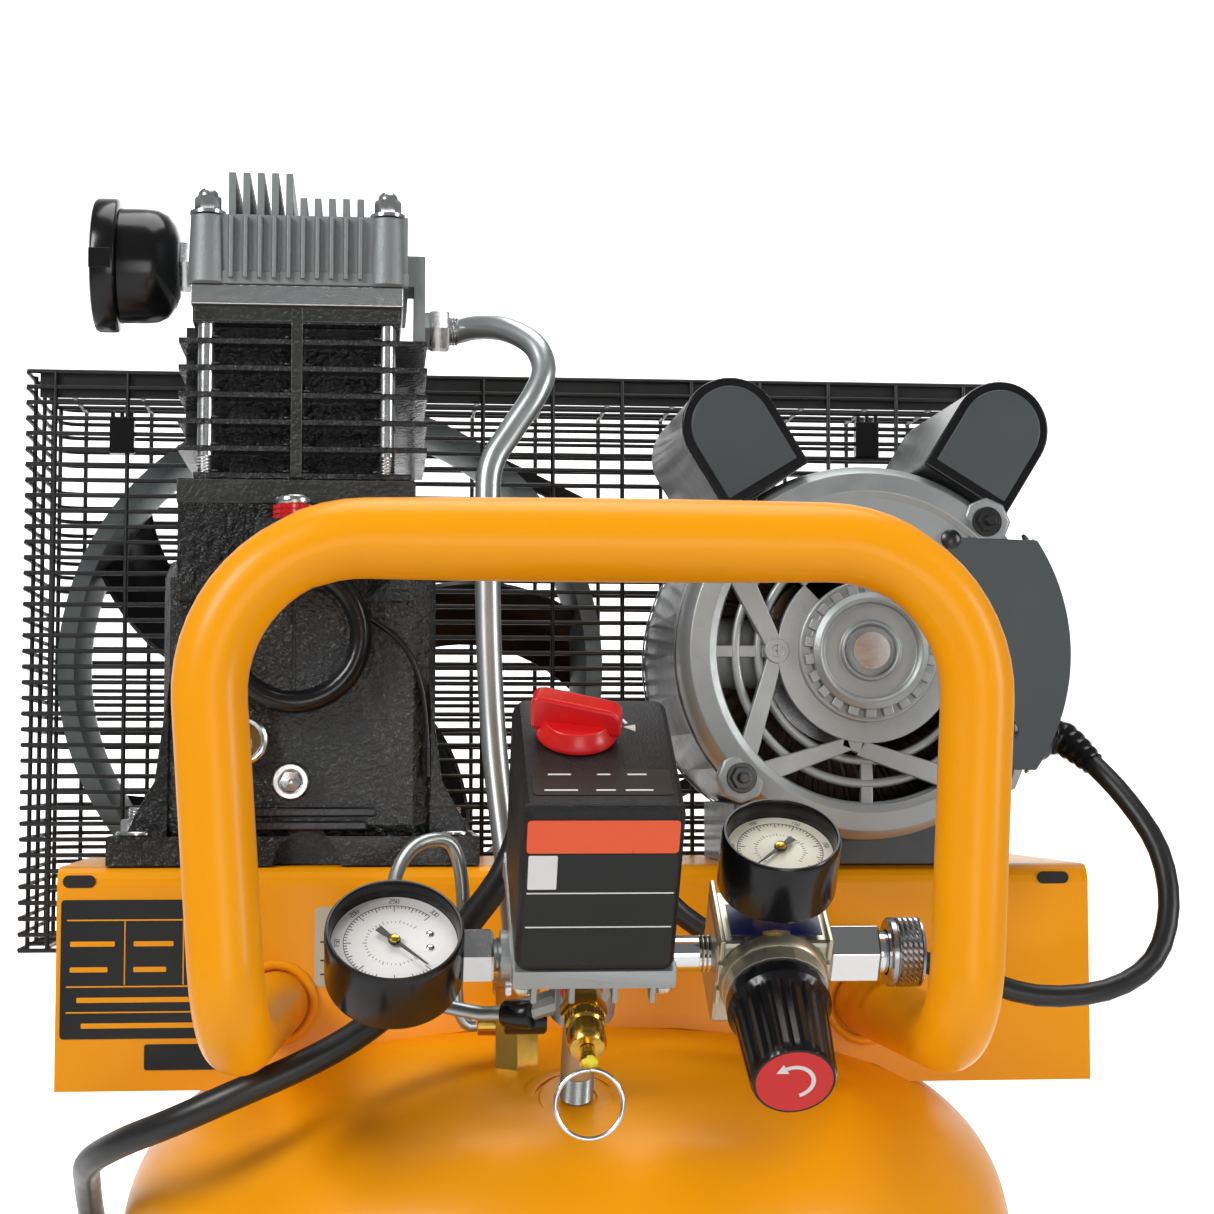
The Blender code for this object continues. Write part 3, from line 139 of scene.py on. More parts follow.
YELLOW = surface("yellow_powder_coat", (0.88, 0.335, 0.002), 0.34, 0, [(900, 0.02), (120, 0.04)], 0.03, 0.05, 0.06,
                 specular=0.22)
# The casting's lighter edge colour is a painted highlight on its sharp edges and fins.
CAST_BLACK = surface("black_enamelled_casting", (0.005, 0.006, 0.006), 0.15, 0, [(300, 3.2), (800, 0.4)], 0.3, 0.05,
                     0.2, edge=(0.02, 0.02, 0.02), specular=0.35)
SMOOTH_BLACK = surface("black_enamel", (0.007, 0.007, 0.008), 0.22, 0, [(500, 0.1)], 0.25, 0.08, 0.1, specular=0.35)
FLANGE = surface("black_enamel_over_machining", (0.035, 0.036, 0.034), 0.2, 0.2, [(500, 0.5), (160, 0.3)], 0.6, 0.1,
                 0.3, 90)
SAND_CAST = surface("sand_cast_aluminium", (0.25, 0.27, 0.27), 0.5, 0.6, [(1500, 0.18), (420, 0.1)], 0.16, 0.1)
DIE_CAST = surface("die_cast_aluminium", (0.36, 0.38, 0.38), 0.44, 0.7, [(1300, 0.09), (240, 0.05)], 0.16, 0.12)
MACHINED = surface("machined_steel", (0.72, 0.73, 0.74), 0.2, 1, [(700, 0.03)], 0.1, 0.08, stretch=(1, 1, 14))
ZINC = surface("zinc_plated_steel", (0.66, 0.67, 0.68), 0.24, 1, [(900, 0.03)], 0.16, 0.1, 0, 60)
CHROME = surface("chrome_plate", (0.78, 0.79, 0.8), 0.09, 1, [(600, 0.01)], 0.06, 0.04)
TUBE_ALUMINIUM = surface("drawn_aluminium", (0.46, 0.49, 0.49), 0.32, 0.85, [(420, 0.012)], 0.08, 0.05, 0, 12)
BRASS = surface("turned_brass", (0.74, 0.47, 0.09), 0.22, 1, [(900, 0.02)], 0.14, 0.08, 0, 70)
PLASTIC = surface("pebbled_black_plastic", (0.009, 0.009, 0.01), 0.42, 0, [(1150, 0.3), (2600, 0.05)], 0.15, 0.08,
                  specular=0.3)
GLOSS_BLACK = surface("moulded_black_plastic", (0.006, 0.006, 0.007), 0.2, 0, [(300, 0.02)], 0.2, 0.06, specular=0.4)
RED = surface("red_moulding", (0.62, 0.006, 0.008), 0.3, 0, [(700, 0.015)], 0.06, 0.05, 0.1)
NICKEL = surface("satin_zinc_die_casting", (0.55, 0.52, 0.42), 0.36, 0.85, [(1600, 0.03)], 0.07, 0.06)
RUBBER = surface("black_cable_sheath", (0.012, 0.012, 0.012), 0.38, 0, [(1200, 0.03)], 0.2, 0.08)
BELT = surface("belt_rubber", (0.02, 0.02, 0.02), 0.7, 0, [(1400, 0.12)], 0.25, 0.1)
TYRE = surface("tyre_rubber", (0.022, 0.022, 0.022), 0.72, 0, [(700, 0.15)], 0.2, 0.08)
DARK_PAINT = surface("dark_grey_paint", (0.045, 0.05, 0.052), 0.36, 0.1, [(1000, 0.05)], 0.12, 0.1, 0.1)
CAP_PAINT = surface("cap_dark_paint", (0.035, 0.039, 0.04), 0.34, 0, [(900, 0.04)], 0.14, 0.08, 0.1)
PLATE_GREY = surface("grey_sheet_cover", (0.062, 0.072, 0.076), 0.4, 0.2, [(1100, 0.05)], 0.22, 0.1, mottle_scale=9)
WIRE = surface("black_coated_wire", (0.012, 0.012, 0.012), 0.35, 0, [(1500, 0.04)], 0.2, 0.08)
RIM = surface("turned_rim", (0.17, 0.19, 0.19), 0.34, 0.7, [(900, 0.08)], 0.3, 0.1, 0, 30)
# Painted shade: a near-black matte film laid where slots open, standing in for the shade inside them.
PAINTED_SLOT_SHADE = surface("painted_slot_shade", (0.008, 0.008, 0.008), 0.7, 0, [(600, 0.05)], 0.3, 0.1)
COPPER = surface("enamelled_winding", (0.035, 0.016, 0.01), 0.4, 0.2, [(1800, 0.4)], 0.5, 0.1, 0, 200)
WHITE = surface("white_dial", (0.82, 0.83, 0.82), 0.35, 0, [(700, 0.01)], 0.02, 0.04)
CREAM = surface("cream_dial", (0.74, 0.72, 0.6), 0.35, 0, [(700, 0.01)], 0.03, 0.04)
INK = surface("black_print", (0.015, 0.015, 0.015), 0.4, 0, [(900, 0.005)], 0.1, 0.05)
LABEL_DARK = surface("dark_label_film", (0.012, 0.014, 0.014), 0.34, 0, [(500, 0.015)], 0.15, 0.06, specular=0.3)
LABEL_ORANGE = surface("orange_label_film", (0.83, 0.09, 0.015), 0.3, 0, [(500, 0.015)], 0.05, 0.05, 0.2)
LABEL_CREAM = surface("cream_label_film", (0.5, 0.47, 0.36), 0.4, 0.2, [(500, 0.015)], 0.07, 0.05)
LABEL_WHITE = surface("white_print", (0.72, 0.72, 0.7), 0.4, 0, [(900, 0.005)], 0.03, 0.05)
LABEL_BLUE = surface("blue_label_film", (0.01, 0.016, 0.12), 0.3, 0, [(500, 0.015)], 0.1, 0.05, 0.2)
GLASS = surface("sight_glass_oil", (0.16, 0.08, 0.015), 0.08, 0, [(400, 0.01)], 0.2, 0.03, 0.5)
PAINT_SPOT = surface("yellow_paint_seal", (0.85, 0.66, 0.03), 0.4, 0, [(1200, 0.4)], 0.1, 0.06)
GASKET = surface("black_gasket", (0.015, 0.015, 0.015), 0.55, 0, [(1300, 0.12)], 0.2, 0.08)

# Shapes


def move(x, y, z):
    return Matrix.Translation((x, y, z))


def yaw(angle):
    return Matrix.Rotation(angle, 4, "Z")


def polar(radius, angle):
    return radius * cos(angle), radius * sin(angle)


def at(origin, out, up=UP):
    """A frame in millimetres at the origin whose z runs along out and whose y leans towards up."""
    z = Vector(out).normalized()
    y = Vector(up) - z * Vector(up).dot(z)
    y.normalize()
    x = y.cross(z)
    return Matrix.Translation(Vector(origin)) @ Matrix((x, y, z)).transposed().to_4x4()


def facing(x, y, z):
    """A frame on a face that looks to the front: x right, y up, z towards the front."""
    return move(x, y, z) @ FRONT


def skin(bm, rows, closed=False):
    """Faces between each loop of points and the next, with the two ends capped unless the last joins the first."""
    for a, b in list(zip(rows, rows[1:])) + ([(rows[-1], rows[0])] if closed else []):
        for i in range(len(a)):
            j = (i + 1) % len(a)
            bm.faces.new((a[i], a[j], b[j], b[i]))
    if not closed:
        bm.faces.new(rows[0][::-1])
        bm.faces.new(rows[-1])
    return bm


def lathe(bm, profile, matrix=NONE, steps=64, closed=False):
    """Turns (radius, height) points about the frame's z."""
    rings = []
    for radius, height in profile:
        if radius < 1e-6:
            rings.append([bm.verts.new(matrix @ Vector((0, 0, height)))])
            continue
        rings.append([bm.verts.new(matrix @ Vector((*polar(radius, tau * i / steps), height))) for i in range(steps)])
    pairs = list(zip(rings, rings[1:])) + ([(rings[-1], rings[0])] if closed else [])
    for a, b in pairs:
        for i in range(steps):
            j = (i + 1) % steps
            corners = [a[i % len(a)], a[j % len(a)], b[j % len(b)], b[i % len(b)]]
            unique = list(dict.fromkeys(corners))
            if len(unique) > 2:
                bm.faces.new(unique)
    return bm


def disc(radius, low, high, soft=0.6):
    """The profile of a solid disc with softened edges."""
    return [(0, low), (radius - soft, low), (radius, low + soft), (radius, high - soft), (radius - soft, high),
            (0, high)]


def rod(radius, low, high):
    """The profile of a plain cylinder."""
    return [(0, low), (radius, low), (radius, high), (0, high)]


def slab(bm, low, high, matrix=NONE):
    low, high = Vector(low), Vector(high)
    size = Matrix.Diagonal((*(high - low), 1))
    bmesh.ops.create_cube(bm, size=1, matrix=matrix @ Matrix.Translation((low + high) / 2) @ size)
    return bm


def prism(bm, outline, low, high, matrix=NONE):
    """A flat outline of (x, y) points, thick from low to high along z."""
    return skin(bm, [[bm.verts.new(matrix @ Vector((x, y, z))) for x, y in outline] for z in (low, high)])


def rounded(width, height, radius, steps=5, centre=(0, 0)):
    """The outline of a rectangle with round corners."""
    outline = []
    for k, (sx, sy) in enumerate(((1, 1), (-1, 1), (-1, -1), (1, -1))):
        for i in range(steps + 1):
            a = pi / 2 * (k + i / steps)
            x, y = polar(radius, a)
            outline.append((centre[0] + (sx * (width / 2 - radius) + x),
                            centre[1] + (sy * (height / 2 - radius) + y)))
    return outline


def sector(inner, outer, start, sweep, steps=24):
    """The outline of a part of a flat ring, angles in degrees."""
    turn = [radians(start + sweep * i / steps) for i in range(steps + 1)]
    return [polar(outer, a) for a in turn] + [polar(inner, a) for a in reversed(turn)]


def sweep(bm, path, radius, sides=20, closed=False):
    """A tube along the points. The radius is one number, or one for each point."""
    path = [Vector(p) for p in path]
    count = len(path)
    rings = []
    side = None
    for i, p in enumerate(path):
        before = path[(i - 1) % count] if closed or i else p
        after = path[(i + 1) % count] if closed or i < count - 1 else p
        ahead = (after - before).normalized()
        if side is None:
            side = ahead.orthogonal().normalized()
        side = (side - ahead * side.dot(ahead)).normalized()
        other = ahead.cross(side)
        r = radius[i] if isinstance(radius, (list, tuple)) else radius
        turn = [polar(r, tau * k / sides) for k in range(sides)]
        rings.append([bm.verts.new(p + side * x + other * y) for x, y in turn])
    return skin(bm, rings, closed)


def curve(points, spacing):
    """Points along a Catmull-Rom curve through the route's own points."""
    route = [Vector(p) for p in points]
    route = [2 * route[0] - route[1]] + route + [2 * route[-1] - route[-2]]
    path = []
    for a, b, c, d in zip(route, route[1:], route[2:], route[3:]):
        count = max(2, round((c - b).length / spacing))
        for i in range(count):
            t = i / count
            near = 2 * b + (c - a) * t
            far = (2 * a - 5 * b + 4 * c - d) * t**2 + (3 * b - a - 3 * c + d) * t**3
            path.append((near + far) / 2)
    return path + [route[-2]]


def bent(points, radii, steps=12):
    """Straight runs joined by arcs, one radius for each inner point."""
    route = [Vector(p) for p in points]
    path = [route[0]]
    for before, corner, after, radius in zip(route, route[1:], route[2:], radii):
        a, b = (before - corner).normalized(), (after - corner).normalized()
        half = a.angle(b) / 2
        centre = corner + (a + b).normalized() * radius / sin(half)
        start, end = corner + a * radius / tan(half) - centre, corner + b * radius / tan(half) - centre
        turn = start.angle(end)
        for i in range(steps + 1):
            near, far = sin(turn * (1 - i / steps)), sin(turn * i / steps)
            path.append(centre + (start * near + end * far) / sin(turn))
    return path + [route[-1]]


def hexagon(bm, matrix, flats, low, high):
    """A hexagonal nut or bar with chamfered corners."""
    r = flats / sqrt(3)
    soft = min(1.0, (high - low) / 5)
    return lathe(bm, [(0, low), (r * 0.93, low), (r, low + soft), (r, high - soft), (r * 0.93, high), (0, high)],
                 matrix, 6)


def thread(start, end, radius, pitch=1.3, depth=0.45):
    """The profile of a screw thread, as rings."""
    points = [(0, start)]
    count = max(2, int((end - start) / pitch))
    for i in range(count):
        h = start + (end - start) * i / count
        points += [(radius - depth, h), (radius, h + (end - start) / count / 2)]
    return points + [(radius - depth, end), (0, end)]


def put(name, bm, material, body="frame", nodes=(), bevel=0.0, sharp=40):
    """Bakes the shape into the row's frame as a piece that rides on a body and stands for the CAD nodes."""
    bmesh.ops.recalc_face_normals(bm, faces=bm.faces)
    bm.transform(ROW)
    mesh = bpy.data.meshes.new(name)
    bm.to_mesh(mesh)
    bm.free()
    mesh.materials.append(material)
    mesh.shade_smooth()
    mesh.set_sharp_from_angle(angle=radians(sharp))
    piece = bpy.data.objects.new(name, mesh)
    scene.collection.objects.link(piece)
    if bevel:
        soften(piece, bevel)
    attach(piece, body)
    if nodes:
        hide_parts(*nodes)
    return piece


def soften(piece, width, angle=38):
    modifier = piece.modifiers.new("soft_edges", "BEVEL")
    modifier.width = width * MM
    modifier.segments = 3
    modifier.limit_method = "ANGLE"
    modifier.angle_limit = radians(angle)
    modifier.harden_normals = True


def keep(node, material, bevel=0.6):
    """A CAD node whose shape is right: welded, its edges softened, and given its finish."""
    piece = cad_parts[node]
    piece.data.materials.clear()
    piece.data.materials.append(material)
    weld = piece.modifiers.new("weld", "WELD")
    weld.merge_threshold = 0.00001
    if bevel:
        soften(piece, bevel, 32)


def new():
    return bmesh.new()


# Cords

TILT = radians(33)
PIPE_FOOT = Vector((-8.3, -138, 880))
PIPE_UP = Vector((0, -sin(TILT), cos(TILT)))
PIPE_OUT = Vector((0, -cos(TILT), -sin(TILT)))
PIPE = at(PIPE_FOOT, PIPE_UP, -PIPE_OUT)


def on_pipe(along, out=0.0, side=0.0):
    return PIPE_FOOT + PIPE_UP * along + PIPE_OUT * out + RIGHT * side


def cable(name, route, radius, spacing, nodes):
    """A cable as a bevelled curve in the row's frame: the piece, its path in millimetres and its length in metres."""
    data = bpy.data.curves.new(name, "CURVE")
    data.dimensions = "3D"
    data.bevel_depth = radius * MM
    data.bevel_resolution = 8
    data.use_fill_caps = True
    path = curve(route, spacing)
    spline = data.splines.new("POLY")
    spline.points.add(len(path) - 1)
    for point, place in zip(spline.points, path):
        point.co = (*(ROW @ place), 1)
    spline.use_smooth = True
    data.materials.append(RUBBER)
    piece = bpy.data.objects.new(name, data)
    scene.collection.objects.link(piece)
    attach(piece, "frame")
    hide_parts(*nodes)
    total = sum((b - a).length for a, b in zip(path, path[1:])) * MM
    return piece, path, total


def relief(name, path, radius, long, nodes=()):
    """A ribbed, tapered strain relief on the first stretch of a cable."""
    run, kept, radii = 0.0, [], []
    last = path[0]
    for p in path:
        run += (p - last).length
        last = p
        if run > long:
            break
        kept.append(p)
    fine = curve(kept, 1.6)
    for i in range(len(fine)):
        t = i / (len(fine) - 1)
        radii.append(radius + 3.2 * (1 - t) + 0.35 + (0.55 if i % 3 else -0.1))
    return put(name, sweep(new(), fine, radii, 28), GLOSS_BLACK, nodes=nodes, sharp=60)


CORD_RADIUS, PLUG_HEIGHT = 5.8, 15.5
cord_route = [
    on_pipe(145, -48.5, -14), (-22.3, -168, 1032.6), (-22.3, -158.9, 1035), (-22.4, -138.5, 1034),
    (-23, -120.5, 1024), (-25, -108.5, 1006.5), (-29.5, -106, 986), (-37, -110, 970), (-47, -115, 957),
    (-61, -121.5, 940), (-78, -128, 922.5), (-98, -134, 908), (-120, -138.5, 897), (-144, -140, 887),
    (-168, -133, 876), (-190, -112, 865), (-206, -76, 852), (-212, -30, 836), (-214, 20, 806),
    (-208, 66, 750), (-196, 106, 660), (-182, 138, 520), (-172, 156, 360), (-167, 165, 200),
    (-163, 171, 110), (-155, 180, 58), (-137, 193, 24), (-110, 204, 8.5), (-80, 211, 6.2),
    (-30, 216, 6.2), (30, 218, 6.2), (85, 215, 6.2), (132, 203, 6.2), (166, 178, 6.2), (182, 144, 6.2),
    (184, 108, 7.2),
]
power, power_path, power_long = cable("power_cable", cord_route, CORD_RADIUS, 9, ["power_cord"])
power_relief = relief("power_cable_relief", power_path, CORD_RADIUS, 34, nodes=["power_cord_gland"])
ahead = (power_path[-1] - power_path[-2]).normalized()
ahead.z = 0
plug_frame = at(power_path[-1] + ahead * 0.6 + UP * (PLUG_HEIGHT - power_path[-1].z), ahead)
plug_body = [(0, 0), (8, 0), (10, 1.2), (10.6, 5), (11, 12), (13.2, 16), (14.2, 22), (14.6, 35), (13.8, 37.6),
             (0, 37.6)]
bm = lathe(new(), plug_body, plug_frame, 40)
for i in range(6):
    rise = i * 1.6
    lathe(bm, [(10.9, 4.6 + rise), (11.5, 5 + rise), (11.5, 5.6 + rise), (10.9, 6 + rise)], plug_frame, 40)
plug = put("power_plug_moulding", bm, RUBBER, nodes=["power_plug"])
bm = new()
for x in (-6, 6):
    prism(bm, rounded(1.6, 6.4, 0.7, 3, (x, -1)), 34, 57.5, plug_frame)
lathe(bm, [(0, 34), (2.4, 34), (2.4, 55), (1.2, 57.5), (0, 57.5)], plug_frame @ move(0, 7.2, 0), 20)
prongs = put("power_plug_prongs", bm, BRASS)

LEAD_RADIUS = 4.65
lead_route = [
    (215.8, -40, 1030), (222, -41, 1029), (232, -52, 1018), (243, -68, 1001), (252, -82, 980), (252, -94, 956),
    (242, -102, 934), (220, -106, 922), (190, -105, 920), (162, -101, 928), (130, -98, 937), (95, -96, 938),
    (62, -96, 942), (34, -98, 960), (18, -104, 990), (12, -120, 1015), on_pipe(119, -66, 12),
    on_pipe(118, -56, 12), on_pipe(118, -48.4, 12),
]
lead, lead_path, lead_long = cable("motor_cable", lead_route, LEAD_RADIUS, 9, ["motor_lead"])

# Tank, deck and handle


def dished(radius, height, steps=28, power=2.7):
    arc = []
    for i in range(steps + 1):
        a = pi / 2 * i / steps
        arc.append((radius * sin(a) ** (2 / power), height * max(0.0, cos(a)) ** (2 / power) if i < steps else 0))
    return arc


head = dished(TANK_RADIUS, 112)
bead = [(200.0, 6), (200.9, 3), (201.1, 0), (200.9, -3), (200.0, -6)]
outline = [(r, 791 + z) for r, z in head[:-1]] + [(r, 788 + z) for r, z in bead]
outline += [(r, 190 + z) for r, z in bead] + [(r, 187 - z) for r, z in reversed(head[:-1])]
put("tank_shell", lathe(new(), outline, steps=128), YELLOW, nodes=["tank"], sharp=60)
seam = [(0, TANK_RADIUS + 0.2, z) for z in range(196, 784, 14)]
put("tank_long_seam", sweep(new(), seam, 2.4, 12), YELLOW)
boss = [(0, -16), (26, -16), (25.5, -3), (23.5, 1.5), (20, 3.4), (17.2, 3.6), (16.9, 2.5), (15.4, 2.5), (15.1, 4.2),
        (14.4, 5.6), (12.4, 6), (8.6, 6), (8.2, 5), (0, 5)]
put("tank_pipe_boss", lathe(new(), boss, PIPE, 64), YELLOW, sharp=50)

keep("deck", YELLOW, 1.1)
SKIRT_Y = -46


def front_label(name, x0, x1, z0, z1, material, radius=2.0, proud=0.35):
    """A thin film on the deck's front skirt. Looking from the front, x runs right and z up."""
    outline = rounded(x1 - x0, z1 - z0, radius, 5, ((x0 + x1) / 2, (z0 + z1) / 2))
    put(name, prism(new(), outline, 0, proud, facing(0, SKIRT_Y, 0)), material)


# The deck's relief slots are dark films of painted shade in place of open slots.
for i, (x0, x1) in enumerate(((-222.5, -208.5), (207.5, 222))):
    front_label(f"deck_relief_slot_{i}", x0, x1, 964.2, 969.6, PAINTED_SLOT_SHADE, 2.6, 0.25)
front_label("deck_data_label", -223, -150, 899.5, 959, LABEL_DARK, 1.6)
for i, z in enumerate((950, 921.5, 910.5)):
    front_label(f"deck_label_rule_{i}", -220.5, -152, z, z + 0.6, YELLOW, 0.25, 0.5)
for i, x in enumerate((-196, -171)):
    front_label(f"deck_label_post_{i}", x, x + 0.5, 922.5, 950, YELLOW, 0.2, 0.5)
for i, (x0, x1, z) in enumerate(((-219, -200, 939), (-192, -175, 939), (-167, -153, 939), (-219, -203, 928),
                                 (-192, -178, 928), (-167, -156, 928), (-216, -156, 915), (-214, -160, 904))):
    front_label(f"deck_label_bar_{i}", x0, x1, z, z + 2.2, YELLOW, 0.5, 0.5)
front_label("deck_rating_plate", -187, -150, 886, 897, LABEL_DARK, 1.2)
front_label("deck_service_label", -114.5, -62, 921, 955.5, LABEL_CREAM, 2.4)
for i, z in enumerate((940, 932, 926)):
    front_label(f"deck_service_rule_{i}", -112, -66, z, z + 0.7, INK, 0.3, 0.5)

route = [(-131, -46.4, 914), (-141, -213, 914), (-154, -213, 1101), (141, -213, 1101), (132, -213, 912),
         (129, -46.4, 912)]
corners = bent(route, (32, 57, 57, 32), 14)
path = []
for a, b in zip(corners, corners[1:]):
    count = max(1, int((b - a).length / 12))
    path += [a + (b - a) * i / count for i in range(count)]
path.append(corners[-1])
radii = []
for p in path:
    across = max(0.0, 1 - ((p.x + 6) / 125) ** 2) if p.z > 1095 else 0.0
    radii.append(14 * (1 + 0.13 * across**0.7))
put("tube_handle", sweep(new(), path, radii, 48), YELLOW, nodes=["handle"], sharp=60)
bm = new()
for x, z, r in ((-131, 914, 16.6), (129, 912, 16.6)):
    ring = [(x + r * cos(tau * i / 40), -46.6, z + r * sin(tau * i / 40)) for i in range(40)]
    sweep(bm, ring, [1.9 + 0.35 * (i % 2) for i in range(40)], 10, closed=True)
put("handle_weld_beads", bm, YELLOW, sharp=60)

keep("rear_foot", YELLOW, 1.2)
for side in ("left", "right"):
    keep(f"axle_bracket_{side}", YELLOW, 1.0)

# Pump

PUMP_X, PUMP_FRONT = -124.5, -40.0
keep("crankcase", CAST_BLACK, 2.2)

cover = facing(PUMP_X, -47, 1074)
ring = [(24.2, -0.5), (24.4, 1.2), (26, 4.1), (28.4, 5.4), (31.0, 5.2), (33.4, 3.2), (34.2, 0.6), (34.2, -6)]
put("crank_cover_ring", lathe(new(), ring, cover, 96, closed=True), SMOOTH_BLACK)
put("crank_cover_disc", lathe(new(), disc(25, -0.5, 0.9, 0.4), cover, 96), CAST_BLACK)
bm = slab(new(), (-0.6, -24, 0.4), (0.6, 24, 1.5), cover)
put("crank_cover_seam", bm, SMOOTH_BLACK, bevel=0.25)
arc = curve([(-91, -38.4, 1082), (-77, -38.4, 1071), (-69, -38.4, 1054), (-66, -38.4, 1033), (-65.5, -38.4, 1012)], 4)
put("crankcase_parting_line", sweep(new(), arc, 1.3, 12), SMOOTH_BLACK)
bm = new()
for x, wide in ((-179, -1), (-65, 1)):
    wedge = [(0, 0), (wide * 19, 0), (wide * 15, 10), (wide * 6, 26), (wide * 2, 56), (0, 70)]
    for y in (-32, 40):
        prism(bm, wedge if wide > 0 else wedge[::-1], -5, 5, facing(x, y, 984))
put("crankcase_foot_gussets", bm, CAST_BLACK, bevel=1.2)
bm = new()
for z, y, low, high in ((988.5, -40.5, -160, -92), (994.5, -39.6, -164, -88)):
    slab(bm, (low, y, z), (high, -36, z + 4.2))
put("crankcase_foot_steps", bm, SMOOTH_BLACK, bevel=1.0)


def border(bm, low, high, wide):
    """A slab with its middle left open."""
    (x0, y0, z0), (x1, y1, z1) = low, high
    for a, b in (((x0, y0), (x1, y0 + wide)), ((x0, y1 - wide), (x1, y1)),
                 ((x0, y0 + wide), (x0 + wide, y1 - wide)), ((x1 - wide, y0 + wide), (x1, y1 - wide))):
        slab(bm, (*a, z0), (*b, z1))
    return bm


bm = border(new(), (-176.6, PUMP_FRONT - 0.6, 1132.5), (-71.4, 60.6, 1143.2), 14)
put("crankcase_top_flange", bm, FLANGE, bevel=0.8)
bm = new()
for x in (-193, -54):
    for y in (-30, 55):
        hexagon(bm, move(x, y, 986.4), 12, 0, 7)
        lathe(bm, disc(9, -0.2, 1.6, 0.4), move(x, y, 986.4), 32)
        lathe(bm, thread(6.5, 12, 3.6), move(x, y, 986.4), 20)
put("pump_mounting_bolts", bm, ZINC)

neck = move(-125, -51, 0)
bm = lathe(new(), rod(8.4, 1124.3, 1126), neck, 40)
teeth = [polar(9.0 if i % 2 else 8.3, tau * i / 44) for i in range(44)]
for low in (1124.4, 1126.6, 1128.8):
    prism(bm, teeth, low, low + 1.7, neck)
lathe(bm, rod(8.1, 1124.5, 1130.6), neck, 40)
put("oil_fill_seal", bm, RED, "oil_plug_body", ["oil_fill_plug"])
put("oil_fill_disc", lathe(new(), [(0, 1130.6), (7.4, 1130.6), (8, 1131.4), (8, 1133.6), (7.2, 1134.6), (5, 1134.6),
                                   (4.6, 1134.1), (0, 1134.1)], neck, 48), MACHINED, "oil_plug_body")
glass = facing(-146.5, -38.3, 1028)
put("sight_glass_bezel", lathe(new(), [(7.4, 0), (7.4, 4.6), (8.2, 6.2), (9.6, 6.9), (10.8, 6), (11, 4.8), (11, 0)],
                               glass, 64, closed=True), ZINC, nodes=["oil_sight_glass"])
put("sight_glass_window", lathe(new(), [(0, 0.4), (7.6, 0.4), (7.6, 3.6), (5, 4.6), (0, 5)], glass, 48), GLASS)
drain = facing(-125.5, -38.3, 1010)
bm = lathe(new(), [(4.7, 1.6), (4.9, 6.2), (5.6, 7), (7.4, 7), (8.5, 5.6), (8.5, 0), (4.7, 0)], drain, 64,
           closed=True)
put("drain_plug_ring", bm, ZINC, nodes=["oil_drain_plug"])
put("drain_plug_socket", lathe(new(), [(0, 3.4), (1.4, 2.8), (4.9, 3.6), (4.9, 0.4), (0, 0.4)], drain, 6), MACHINED)

keep("cylinder_block", CAST_BLACK, 0.7)
bm = slab(new(), (PUMP_X - 2.6, PUMP_FRONT - 0.7, 1144.2), (PUMP_X + 2.6, -28, 1220.6))
slab(bm, (-176.6, 5, 1157), (-160, 11, 1219))
for z in range(6):
    for x in (-35.5, -4.2, 4.2, 35.5):
        lathe(bm, rod(2.0, 0, 1.1), move(PUMP_X + x, PUMP_FRONT + 2, 1146.5 + z * 12), 12)
put("cylinder_rib", bm, FLANGE, bevel=0.8)
bm = border(new(), (PUMP_X - 45.6, PUMP_FRONT - 0.5, 1213.6), (PUMP_X + 45.6, 60.5, 1220.6), 13)
put("cylinder_top_flange", bm, FLANGE, bevel=0.8)
keep("valve_plate", MACHINED, 0.5)
bm = new()
for z in (1220.9, 1230.0):
    slab(bm, (PUMP_X - 46.2, PUMP_FRONT - 0.3, z), (PUMP_X + 46.2, 60.3, z + 0.5))
put("head_gaskets", bm, GASKET)
keep("cylinder_head", SAND_CAST, 0.7)
bm = new()
for sx in (-40, 40):
    for y in (-36, 56):
        lathe(bm, [(4.4, 1231), (8.6, 1231), (7.6, 1261.5), (4.4, 1261.5)], move(PUMP_X + sx, y, 0), 40, closed=True)
for i in range(10):
    x = -153.9 + i * 6.35
    prism(bm, [(1.6, 0.6), (-1.6, 0.6), (-0.8, -3.4), (0.8, -3.4)], 1233, 1261, move(x, PUMP_FRONT, 0))
slab(bm, (PUMP_X - 47, PUMP_FRONT - 0.9, 1230.6), (PUMP_X + 49.5, 60.9, 1236.5))
put("head_bosses", bm, SAND_CAST, bevel=0.5)
for index, (sx, y) in enumerate(((-40, -36), (40, -36), (-40, 56), (40, 56)), 1):
    bm = lathe(new(), thread(1143.9, 1154, 4.0), move(PUMP_X + sx, y, 0), 28)
    lathe(bm, rod(3.7, 1154, 1262), move(PUMP_X + sx, y, 0), 28)
    top = move(PUMP_X + sx, y, 1262.1)
    lathe(bm, rod(8, 0, 1.5), top, 40)
    hexagon(bm, top, 10.4, 1.5, 8.2)
    lathe(bm, [(0, 8), (4.7, 8), (4.4, 10), (3, 11.6), (0, 12)], top, 32)
    put(f"head_stud_detail_{index}", bm, ZINC, nodes=[f"head_stud_{index}"])

can = at((-170.8, 10, 1248), -RIGHT, UP)
bm = lathe(new(), [(0, 9), (14, 9), (19, 11), (23.6, 14.5), (25.8, 19), (26.4, 24), (26.5, 36), (0, 36)], can, 96)
put("intake_canister", bm, GLOSS_BLACK, nodes=["intake_filter_housing"])
bm = hexagon(new(), can, 21, 2.6, 9.4)
lathe(bm, thread(0.2, 3, 8.6), can, 40)
put("intake_nipple_hex", bm, ZINC)
bm = lathe(new(), [(0, 36.4), (29.5, 36.4), (30.6, 37.2), (30.9, 39), (30.9, 45.6), (30, 47.4), (27.6, 48.2),
                   (25, 48.2), (24, 47.2), (9, 47.2), (8, 48), (0, 48.1)], can, 96)
for i in range(3):
    tab = can @ yaw(tau * (i / 3 + 0.07))
    slab(bm, (-4.5, 26.5, 38), (4.5, 30.9, 48.0), tab)
